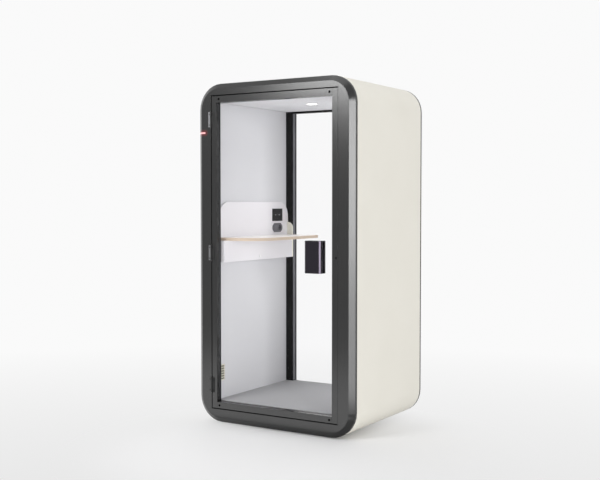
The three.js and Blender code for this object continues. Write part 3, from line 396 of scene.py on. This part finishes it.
def wall_felt():
    """Pressed felt: two sizes of fibre, no gloss and a soft edge of light."""
    made, tree, shader = new_material("wall_felt")
    fibre = grain(tree, scale=900, detail=6.0, stretch=(1, 1, 0.35))
    clump = grain(tree, scale=160)
    mixed = average(tree, fibre, clump)
    connect(tree, shader.inputs["Base Color"], tones(tree, mixed, (207, 207, 210), (219, 219, 221)))
    settle(shader, {"Roughness": 0.95, "Specular IOR Level": 0.15, "Sheen Weight": 0.2})
    relief(tree, shader, mixed, strength=0.6, depth=0.0006)
    return made


def carpet():
    """Loop pile: rounded cells, darker in the low parts of their relief as painted shade between the loops, and
    flecks of two greys.
    """
    made, tree, shader = new_material("carpet")
    cells = {"Vector": place(tree), "Scale": 260.0}
    loops = add(tree, "ShaderNodeTexVoronoi", cells).outputs["Distance"]
    flecks = average(tree, loops, grain(tree, scale=500, detail=4.0))
    connect(tree, shader.inputs["Base Color"], tones(tree, flecks, (160, 160, 162), (180, 180, 182)))
    settle(shader, {"Roughness": 1.0, "Specular IOR Level": 0.1, "Sheen Weight": 0.15})
    relief(tree, shader, loops, strength=0.7, depth=0.002)
    return made


def clear_glass():
    """Clear pane with little glare, which lets lamp light through to what is behind it."""
    made, tree, shader = new_material("clear_glass")
    haze = grain(tree, scale=40, detail=2.0)
    connect(tree, shader.inputs["Roughness"], span(tree, haze, 0.0, 0.01))
    settle(shader, {"Base Color": (0.99, 0.99, 0.992, 1.0), "Transmission Weight": 1.0, "IOR": 1.05})
    path = add(tree, "ShaderNodeLightPath").outputs
    lamp = maths(tree, "MAXIMUM", path["Is Shadow Ray"], path["Is Diffuse Ray"])
    clear = add(tree, "ShaderNodeBsdfTransparent", {"Color": (0.97, 0.97, 0.972, 1.0)})
    mixed = add(tree, "ShaderNodeMixShader", {0: lamp, 1: shader.outputs[0], 2: clear.outputs[0]})
    connect(tree, tree.nodes["Material Output"].inputs["Surface"], mixed.outputs[0])
    return made


def black_rubber():
    """Dull black of the seals, the feet and the vent's filter."""
    return surface("black_rubber", (22, 22, 23), (32, 32, 33),
                   roughness=(0.7, 0.85), scale=900, depth=0.0002)


def hinge_steel():
    """Grey steel of the two upper hinges' leaves on the frame, brighter than the lowest hinge's as a painted
    highlight.
    """
    return brushed("hinge_steel", (108, 108, 110), (128, 128, 130),
                   roughness=(0.3, 0.42), stretch=(1, 1, 0.06))


def bare_steel():
    """Bright steel of the catch, the ports and the hidden fittings."""
    return brushed("bare_steel", (176, 176, 178), (204, 204, 206),
                   roughness=(0.28, 0.4), stretch=(1, 1, 0.1))


def black_steel_and_shade():
    """Black coat nearly without shine, for the screws, and as painted shade in the gap round the door and in dark
    recesses.
    """
    fixed = {"Specular IOR Level": 0.02}
    return surface("black_steel_and_shade", (8, 8, 8), (12, 12, 12),
                   roughness=(0.6, 0.7), scale=1200, depth=0.00006, fixed=fixed)


def handle_coat():
    """Dark violet gloss of the handles."""
    fixed = {"Specular IOR Level": 0.26, "Specular Tint": (0.96, 0.93, 1.0, 1.0)}
    return surface("handle_coat", (14, 11, 17), (20, 16, 24),
                   roughness=(0.2, 0.26), scale=1600, depth=0.00006, fixed=fixed)


def handle_edge():
    """Polished bevel of the outer handle."""
    fixed = {"Metallic": 1.0}
    return surface("handle_edge", (90, 84, 95), (97, 91, 102),
                   roughness=(0.28, 0.34), scale=1600, depth=0.00004, fixed=fixed)


def red_light():
    """The occupancy light, bright enough to look nearly white."""
    return glowing("red_light", colour=(120, 50, 52), glow=(248, 196, 199), strength=1.0)


def desk_board():
    """White laminate of the desk top."""
    return surface("desk_board", (238, 234, 231), (243, 239, 236),
                   roughness=(0.38, 0.46), scale=900, depth=0.00006)


def ply_edge():
    """Bare ply: thin layers, some darker, with grain along the edge."""
    made, tree, shader = new_material("ply_edge")
    bands = {"Vector": place(tree), "Scale": WAVE_BAND / PLY_LAYERS, "Distortion": 0.4}
    layers = add(tree, "ShaderNodeTexWave", bands, bands_direction="Z").outputs["Fac"]
    streaks = grain(tree, scale=300, detail=4.0, stretch=(1, 1, 6))
    mixed = average(tree, layers, streaks)
    connect(tree, shader.inputs["Base Color"], tones(tree, mixed, (170, 152, 134), (210, 193, 175)))
    settle(shader, {"Roughness": 0.6})
    relief(tree, shader, mixed, strength=0.4, depth=0.0002)
    return made


def white_panel():
    """White panels of the upstand and the cable box."""
    return surface("white_panel", (226, 224, 227), (231, 229, 232),
                   roughness=(0.42, 0.5), scale=900, depth=0.00006)


def end_panel():
    """Pale cream of the end cheek."""
    return surface("end_panel", (246, 244, 230), (250, 248, 235),
                   roughness=(0.5, 0.6), scale=900, depth=0.00006)


def black_plastic():
    """Matt black plastic of the power module, the inlet and the fan's housing."""
    fixed = {"Specular IOR Level": 0.12}
    return surface("black_plastic", (34, 34, 36), (44, 44, 46),
                   roughness=(0.4, 0.5), scale=1800, depth=0.0001, fixed=fixed)


def grey_plastic():
    """Grey plastic of the socket, the fan's rotor and the door pane's gasket, and a painted highlight on the rear
    window's frame and bead beside its pane.
    """
    return surface("grey_plastic", (86, 86, 92), (100, 100, 106),
                   roughness=(0.4, 0.5), scale=1800, depth=0.0001)


def white_trim():
    """White plastic of small fittings."""
    return surface("white_trim", (236, 236, 236), (244, 244, 244),
                   roughness=(0.3, 0.38), scale=900, depth=0.00005)


def opal_plastic():
    """The downlight's lit diffuser."""
    return glowing("opal_plastic", colour=(255, 255, 253), glow=(255, 252, 246), strength=3.0)


def vent_paint():
    """Warm paint of the vent's grille."""
    return surface("vent_paint", (214, 209, 190), (224, 219, 201),
                   roughness=(0.5, 0.6), scale=900, depth=0.00008)


# One finish for each of the record's slots, and a few more for single pieces
FINISHES = (frame_coat, front_coat, rear_shade_coat, shell_coat, core_foam, deck_board, wall_felt, carpet,
            clear_glass, black_rubber, hinge_steel, bare_steel, black_steel_and_shade, handle_coat, handle_edge,
            red_light, desk_board, ply_edge, white_panel, end_panel, black_plastic, grey_plastic,
            white_trim, opal_plastic, vent_paint)
MATERIALS = {finish.__name__: finish() for finish in FINISHES}


def finished(shape, name):
    """A mesh from a working shape, with smooth faces."""
    for face in shape.faces:
        face.smooth = True
    mesh = bpy.data.meshes.new(name)
    shape.to_mesh(mesh)
    shape.free()
    return mesh


def shown(name, mesh, finish, body):
    """Puts a mesh in the scene as a piece that rides on a body."""
    piece = bpy.data.objects.new(name, mesh)
    bpy.context.scene.collection.objects.link(piece)
    mesh.materials.append(MATERIALS[finish])
    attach(piece, body)
    return piece


def rounded(piece, radius):
    """Rounds a piece's edges and keeps its flat faces flat."""
    rounding = piece.modifiers.new("rounding", "BEVEL")
    rounding.width = radius
    rounding.segments = ROUNDING_STEPS
    rounding.limit_method = "ANGLE"
    rounding.angle_limit = EDGE_ANGLE
    rounding.use_clamp_overlap = False
    weighting = piece.modifiers.new("weighting", "WEIGHTED_NORMAL")
    weighting.keep_sharp = True
    return piece


def working_copy(node):
    """A node's shape with its flat faces whole."""
    shape = bmesh.new()
    shape.from_mesh(frame["nodes"][node].data)
    bmesh.ops.remove_doubles(shape, verts=shape.verts, dist=WELD)
    bmesh.ops.dissolve_limit(shape, angle_limit=FLAT_ANGLE, verts=shape.verts, edges=shape.edges)
    return shape


def refined(node, finish=None, shape=None):
    """A finer piece in a node's place, with rounded edges, in its slot's finish or another."""
    slot = SLOT_OF[node]
    mesh = finished(shape or working_copy(node), f"{node}_look")
    piece = shown(f"{node}_look", mesh, finish or slot, BODY_OF[node])
    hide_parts(node)
    return rounded(piece, EDGE_RADIUS[slot])


def added(name, shape, finish, body):
    """A piece of its own, from a working shape."""
    bmesh.ops.recalc_face_normals(shape, faces=shape.faces)
    return shown(name, finished(shape, name), finish, body)


def recoat(piece, finish, wanted):
    """Gives another coat to a piece's faces that a test picks."""
    piece.data.materials.append(MATERIALS[finish])
    last = len(piece.data.materials) - 1
    for face in piece.data.polygons:
        if wanted(face):
            face.material_index = last


def circle(centre, across, up, radius):
    """Points round a circle in the plane of two directions."""
    turns = [2 * math.pi * i / ROUND_STEPS for i in range(ROUND_STEPS)]
    return [centre + radius * (math.cos(turn) * across + math.sin(turn) * up) for turn in turns]


def hexagon(centre, across, up, radius):
    """Points round a hexagon, at the same turns as a circle's."""
    points = []
    for i in range(ROUND_STEPS):
        turn = 2 * math.pi * i / ROUND_STEPS
        off = (turn + math.pi / 6) % (math.pi / 3) - math.pi / 6
        reach = radius * math.cos(math.pi / 6) / math.cos(off)
        points.append(centre + reach * (math.cos(turn) * across + math.sin(turn) * up))
    return points


def rectangle(x, low, high):
    """Corners of an upright rectangle at x, between two points."""
    corners = ((low.y, low.z), (high.y, low.z), (high.y, high.z), (low.y, high.z))
    return [Vector((x, y, z)) for y, z in corners]


def around(centre, width, height):
    """The lowest and highest corners of an upright rectangle round a point."""
    half = Vector((0, width / 2, height / 2))
    return centre - half, centre + half


def skinned(loops):
    """A shape that joins loops of equal length, one to the next, closed at the first and the last."""
    shape = bmesh.new()
    skin(shape, loops)
    return shape


def skin(shape, loops):
    """Adds a closed skin over loops of equal length to a shape."""
    rings = [[shape.verts.new(point) for point in loop] for loop in loops]
    for near, far in zip(rings, rings[1:]):
        for i in range(len(near)):
            j = (i + 1) % len(near)
            shape.faces.new((near[i], near[j], far[j], far[i]))
    shape.faces.new(list(reversed(rings[0])))
    shape.faces.new(rings[-1])


def block(low, high):
    """A box between two corners."""
    return skinned([rectangle(x, low, high) for x in (low.x, high.x)])


def dress_frame():
    """A finer piece for each plain node that shows, and a finish for each one shut inside."""
    for node, part in frame["nodes"].items():
        if node.startswith(ENCLOSED):
            part.data.materials.clear()
            part.data.materials.append(MATERIALS[SLOT_OF[node]])
        elif not node.startswith(OWN):
            refined(node)


def make_frames():
    """The front frame, black as painted shade in the gap round the door, and a darker, duller rear one as painted
    shade, with a grey painted highlight beside its pane.
    """
    # Black on the walls of the gap round the door is painted shade
    recoat(refined("front_frame", "front_coat"), "black_steel_and_shade", in_gap)
    rear = refined("rear_frame")
    # The rear frame's darker coat, on all but its sideways faces, is painted shade
    recoat(rear, "rear_shade_coat", lambda face: abs(face.normal.x) < TURNED)
    # Grey on the faces beside the rear pane is a painted highlight
    for piece in (rear, refined("rear_bead")):
        recoat(piece, "grey_plastic", in_window)


def in_gap(face):
    """Whether a face is a wall of the gap round the door, in front of its seal."""
    low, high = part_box("door_seal")
    x, y, z = face.center
    inside = abs(x) < high.x + SEAL_EDGE and low.z - SEAL_EDGE < z < high.z + SEAL_EDGE
    return inside and y < low.y and abs(face.normal.y) < EDGE_ON


def in_window(face):
    """Whether a face looks sideways into the rear window."""
    return abs(face.normal.x) > TURNED and abs(face.center.x) < REVEAL_REACH


def make_door():
    """The door's stiles and rails, black as painted shade on the edges in the gap, and the grey gasket of its
    pane.
    """
    for name in ("stile_hinge", "stile_lock", "rail_top", "rail_bottom"):
        recoat(refined(f"door_{name}"), "black_steel_and_shade", at_door_edge)
    refined("door_gasket", "grey_plastic")


def at_door_edge(face):
    """Whether a face lies on the door's outline."""
    low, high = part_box("door_stile_hinge")[0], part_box("door_stile_lock")[1]
    x, _, z = face.center
    sides = min(abs(x - low.x), abs(x - high.x))
    ends = min(abs(z - low.z), abs(z - high.z))
    return min(sides, ends) < EDGE_REACH


def make_sills():
    """The deck and the roof's core, with dark tape over the ends that the doorway shows."""
    for node in ("floor_deck", "core_roof"):
        recoat(refined(node), "black_steel_and_shade", lambda face: face.normal.y < -MOSTLY)


def make_carpet():
    """The carpet, cut into a fine grid whose upper side is uneven like looped pile."""
    low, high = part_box("carpet")
    shape = working_copy("carpet")
    for axis, normal in enumerate((RIGHT, BACK)):
        count = int((high[axis] - low[axis]) / PILE_STEP)
        for i in range(1, count):
            cut = low + i * PILE_STEP * normal
            everything = [*shape.verts, *shape.edges, *shape.faces]
            bmesh.ops.bisect_plane(shape, geom=everything, plane_co=cut, plane_no=normal, dist=WELD)
    for vertex in shape.verts:
        if high.z - vertex.co.z < WELD:
            vertex.co.z -= PILE_HEIGHT * (0.5 + 0.5 * noise.noise(vertex.co * PILE_SCALE))
    refined("carpet", shape=shape)


def make_desk():
    """The desk top, white above and below, with its ply showing all round the edge."""
    recoat(refined("desk_top"), "ply_edge", lambda face: abs(face.normal.z) <= MOSTLY)


def make_hinges():
    """Dark knuckles and pins, with bright leaves on the frame beside the two upper ones as a painted highlight,
    and the lowest hinge's leaves darker as painted shade.
    """
    for height in HINGE_HEIGHTS:
        coats = SHADED_LOWEST_LEAF_COATS if height == "lower" else HIGHLIT_LEAF_COATS
        refined(f"hinge_pin_{height}", "rear_shade_coat")
        for side, coat in coats.items():
            recoat(refined(f"hinge_{side}_leaf_{height}", "rear_shade_coat"), coat, beside_knuckle)


def beside_knuckle(face):
    """Whether a face of a hinge lies clear of its knuckles."""
    return abs(face.center.x - HINGE_PLACE[0]) > KNUCKLE_REACH


def make_screws():
    """Screws at the ends of both rails, at the strike and in the hinge leaves."""
    for rail in ("top", "bottom"):
        low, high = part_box(f"door_rail_{rail}")
        height = (low.z + high.z) / 2
        spots = [(x, low.y, height) for x in (low.x + RAIL_SCREW_SIDE, high.x - RAIL_SCREW_SIDE)]
        make_screw_row(f"rail_screws_{rail}", spots, RAIL_SCREW_RADIUS, "door")
    low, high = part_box("door_stile_lock")
    strike_low, strike_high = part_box("strike_plate")
    spot = (high.x - STILE_SCREW_EDGE, low.y, (strike_low.z + strike_high.z) / 2)
    make_screw_row("strike_screw", [spot], STILE_SCREW_RADIUS, "door")
    for height in HINGE_HEIGHTS:
        make_leaf_screws(height)


def make_leaf_screws(height):
    """Two screws in the flat part of each leaf of a hinge."""
    frame_leaf, door_leaf = f"hinge_frame_leaf_{height}", f"hinge_door_leaf_{height}"
    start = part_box(frame_leaf)[0].x
    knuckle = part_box(door_leaf)[0].x
    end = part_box(door_leaf)[1].x
    middles = {frame_leaf: (start + knuckle) / 2, door_leaf: (knuckle + KNUCKLE_WIDTH + end) / 2}
    for leaf, x in middles.items():
        low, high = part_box(leaf)
        face = HINGE_PLACE[1] + LEAF_FACE
        spots = [(x, face, z) for z in (low.z + LEAF_SCREW_END, high.z - LEAF_SCREW_END)]
        make_screw_row(f"{leaf}_screws", spots, LEAF_SCREW_RADIUS, BODY_OF[leaf])


def make_screw_row(name, spots, radius, body):
    """One piece for a row of like screws that face forwards."""
    shape = bmesh.new()
    for spot in spots:
        skin(shape, screw_loops(Vector(spot), radius))
    rounded(added(name, shape, "black_steel_and_shade", body), radius * SCREW_ROUNDING_SHARE)


def screw_loops(spot, radius):
    """Loops over a low domed screw head with a hexagonal socket, seated at a spot on a face."""
    across = FORWARD.orthogonal().normalized()
    up = FORWARD.cross(across)
    dome = ((1.0, -SCREW_RECESS), (1.0, 0.0), (SCREW_TOP_SHARE, SCREW_PROUD))
    loops = [circle(spot + height * FORWARD, across, up, share * radius) for share, height in dome]
    for height in (SCREW_PROUD, HEX_FLOOR):
        loops.append(hexagon(spot + height * FORWARD, across, up, HEX_SHARE * radius))
    return loops


def make_lock_strip():
    """A strip on the lock stile's edge that closes most of the gap beside it, painted light in place of the gap's
    shade.
    """
    low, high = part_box("door_stile_lock")
    near = Vector((high.x, low.y, low.z))
    far = Vector((high.x + LOCK_STRIP_WIDTH, low.y + LOCK_STRIP_DEPTH, high.z))
    strip = added("lock_strip", block(near, far), "frame_coat", "door")
    rounded(strip, LOCK_STRIP_ROUNDING)


def make_edge_strips():
    """Black strips along the upper and the lower edge of the door's face, painted shade that widens the dark line
    of the gap round the door.
    """
    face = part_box("door_rail_top")[0].y
    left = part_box("door_stile_hinge")[0].x + EDGE_STRIP_END
    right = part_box("door_stile_lock")[1].x
    heights = {
        "top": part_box("door_rail_top")[1].z - EDGE_STRIP_WIDTH,
        "bottom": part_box("door_rail_bottom")[0].z,
    }
    for name, height in heights.items():
        near = Vector((left, face - EDGE_STRIP_PROUD, height))
        far = Vector((right, face, height + EDGE_STRIP_WIDTH))
        strip = added(f"edge_strip_{name}", block(near, far), "black_steel_and_shade", "door")
        rounded(strip, EDGE_STRIP_ROUNDING)


def make_vent():
    """The vent's grille, with the walls of its slots black as painted shade, and a black filter in the duct close
    behind it.
    """
    recoat(refined("vent_grille"), "black_steel_and_shade", in_slot)
    low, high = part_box("vent_grille")
    back = low.x - FILTER_SETBACK
    near = Vector((back - FILTER_THICKNESS, low.y + FILTER_MARGIN, low.z + FILTER_MARGIN))
    far = Vector((back, high.y - FILTER_MARGIN, high.z - FILTER_MARGIN))
    dust = added("vent_filter", block(near, far), "black_rubber", "pod")
    rounded(dust, FILTER_ROUNDING)


def in_slot(face):
    """Whether a face of the grille is the wall of a slot."""
    low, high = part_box("vent_grille")
    _, y, z = face.center
    within_length = low.y + EDGE_REACH < y < high.y - EDGE_REACH
    within_height = low.z + EDGE_REACH < z < high.z - EDGE_REACH
    return within_length and within_height and abs(face.normal.x) < MOSTLY


def make_handle():
    """The outer handle, with a bright bevel down each side of its face."""
    recoat(refined("handle_outer"), "handle_edge", is_slanted)


def is_slanted(face):
    """Whether a face is turned both forwards and sideways."""
    return face.normal.y < -SLANTWISE and abs(face.normal.x) > SLANTWISE


def make_ports():
    """The module's two ports."""
    low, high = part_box("usb_module")
    middle = (low + high) / 2
    for name, side in (("front", -1), ("rear", 1)):
        mouth = Vector((high.x, middle.y + side * PORT_SPACING / 2, middle.z))
        make_port_shell(name, mouth)
        make_port_tongue(name, mouth)


def make_port_shell(name, mouth):
    """A port's steel shell, open at the module's face."""
    back = mouth.x - PORT_DEPTH
    front = mouth.x - PORT_SETBACK
    outside = around(mouth, PORT_WIDTH - 2 * PORT_CLEARANCE, PORT_HEIGHT - 2 * PORT_CLEARANCE)
    inside = around(mouth, PORT_WIDTH - 2 * PORT_WALL, PORT_HEIGHT - 2 * PORT_WALL)
    loops = [rectangle(x, *outside) for x in (back, front)]
    loops += [rectangle(x, *inside) for x in (front, back + PORT_BACK)]
    shell = added(f"port_shell_{name}", skinned(loops), "bare_steel", "pod")
    rounded(shell, PORT_ROUNDING)


def make_port_tongue(name, mouth):
    """A port's tongue, standing out from the back of its shell."""
    low, high = around(mouth + TONGUE_RISE * UP, TONGUE_WIDTH, TONGUE_HEIGHT)
    low.x -= PORT_DEPTH - PORT_BACK
    high.x -= PORT_SETBACK + TONGUE_SETBACK
    tongue = added(f"port_tongue_{name}", block(low, high), "white_trim", "pod")
    rounded(tongue, TONGUE_ROUNDING)


def make_socket_blank():
    """A blanking disc beside the socket's cup."""
    low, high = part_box("power_socket")
    middle = (low + high) / 2
    spot = Vector((high.x, middle.y - BLANK_OFFSET, middle.z))
    loops = []
    for share, height in BLANK_PROFILE:
        loops.append(circle(spot + height * RIGHT, BACK, UP, share * BLANK_RADIUS))
    added("socket_blank", skinned(loops), "grey_plastic", "pod")


def seen(tree):
    """1 for rays that show the background, straight on, mirrored or through glass."""
    path = add(tree, "ShaderNodeLightPath").outputs
    direct = maths(tree, "MAXIMUM", path["Is Camera Ray"], path["Is Glossy Ray"])
    return maths(tree, "MAXIMUM", direct, path["Is Transmission Ray"])


def floor_material():
    """A pale floor that keeps the shadow near the pod and fades into a white background."""
    made, tree, shader = new_material("floor")
    settle(shader, {"Base Color": FLOOR_COLOUR, "Roughness": 0.9, "Specular IOR Level": 0.1})
    fading = ranged(tree, distance(tree, FADE_CENTRE), FADE_RANGE, interpolation="SMOOTHSTEP")
    share = maths(tree, "MULTIPLY", fading, seen(tree))
    level = ranged(tree, distance(tree, PALE_CENTRE), PALE_RANGE, (PALE, WHITE))
    white = add(tree, "ShaderNodeEmission", {"Strength": level})
    mixed = add(tree, "ShaderNodeMixShader", {0: share, 1: shader.outputs[0], 2: white.outputs[0]})
    connect(tree, tree.nodes["Material Output"].inputs["Surface"], mixed.outputs[0])
    return made


def make_stage():
    """The floor."""
    shape = bmesh.new()
    bmesh.ops.create_grid(shape, x_segments=2, y_segments=2, size=FLOOR_SIZE / 2)
    floor = bpy.data.objects.new("floor", finished(shape, "floor"))
    bpy.context.scene.collection.objects.link(floor)
    floor.data.materials.append(floor_material())


def make_world():
    """Even light from all round, and a white background."""
    world = bpy.data.worlds.new("studio")
    world.use_nodes = True
    tree = world.node_tree
    background = tree.nodes["Background"]
    settle(background, {"Color": (1.0, 1.0, 1.0, 1.0)})
    strength = ranged(tree, seen(tree), (0.0, 1.0), (AMBIENT, WHITE))
    connect(tree, background.inputs["Strength"], strength)
    bpy.context.scene.world = world


def add_lamp(name, at, aim, size, power, spread=180):
    """A soft rectangular lamp that shows only by its light and its reflections."""
    light = bpy.data.lights.new(name, "AREA")
    light.shape = "RECTANGLE"
    light.size, light.size_y = size
    light.energy = power
    light.spread = math.radians(spread)
    lamp = bpy.data.objects.new(name, light)
    lamp.location = at
    lamp.rotation_euler = (Vector(aim) - Vector(at)).to_track_quat("-Z", "Y").to_euler()
    lamp.visible_camera = False
    lamp.visible_transmission = False
    bpy.context.scene.collection.objects.link(lamp)
    return lamp


def make_lamps():
    """A tall key far off at the front right, softer lamps round and above the pod, and two in the cabin."""
    add_lamp("key", at=(11.7, -9.2, 2.4), aim=(0.5, -0.4, 1.1), size=(2.0, 4.6), power=690)
    add_lamp("overhead", at=(0.5, -0.8, 8.0), aim=(0.0, 0.0, 0.0), size=(6.0, 6.0), power=170)
    add_lamp("top_sheen", at=(-1.26, -4.02, 2.98), aim=(0.3, -0.47, 2.1), size=(1.6, 0.9), power=88)
    add_lamp("front_card", at=(-0.7, -1.7, 0.01), aim=(-0.7, -1.7, 1.0), size=(3.0, 2.2), power=31)
    add_lamp("side_fill", at=(7.5, 0.8, 1.8), aim=(0.5, 0.0, 1.1), size=(3.0, 3.0), power=84)
    add_lamp("cabin", at=(0.45, 0.22, 1.2), aim=(-0.45, 0.22, 1.2), size=(0.45, 1.5), power=4.2)
    add_lamp("desk", at=(-0.3, 0.05, 2.0), aim=(-0.3, 0.05, 1.2), size=(0.2, 0.6), power=0.2, spread=45)
    add_lamp("rear_fill", at=(-3.5, 5.0, 2.5), aim=(0.0, 0.0, 1.2), size=(3.0, 3.0), power=80)


def make_cards():
    """A row of cards on the floor that shows in the front frame's bevel and lights no other piece."""
    lit = bpy.data.collections.new("bevel_card_light")
    lit.objects.link(bpy.data.objects["front_frame_look"])
    for number in range(CARD_COUNT):
        reach = CARD_START * CARD_GROWTH ** number
        spot = CARD_CORNER + reach * CARD_WAY
        size = CARD_SHARE * reach
        card = add_lamp(f"bevel_card_{number}", spot, spot + UP, (size, size), CARD_POWER * size ** 2)
        card.light_linking.receiver_collection = lit


def make_camera():
    """The camera, at the photograph's viewing angle."""
    data = bpy.data.cameras.new("camera")
    data.lens = CAMERA_LENS
    camera = bpy.data.objects.new("camera", data)
    camera.location = CAMERA_PLACE
    camera.rotation_euler = (math.radians(90 - CAMERA_PITCH), 0, math.radians(CAMERA_YAW))
    bpy.context.scene.collection.objects.link(camera)
    bpy.context.scene.camera = camera


bpy.context.scene.view_settings.view_transform = "Standard"
make_camera()
dress_frame()
make_frames()
make_door()
make_sills()
make_carpet()
make_desk()
make_hinges()
make_screws()
make_lock_strip()
make_edge_strips()
make_vent()
make_handle()
make_ports()
make_socket_blank()
make_stage()
make_world()
make_lamps()
make_cards()
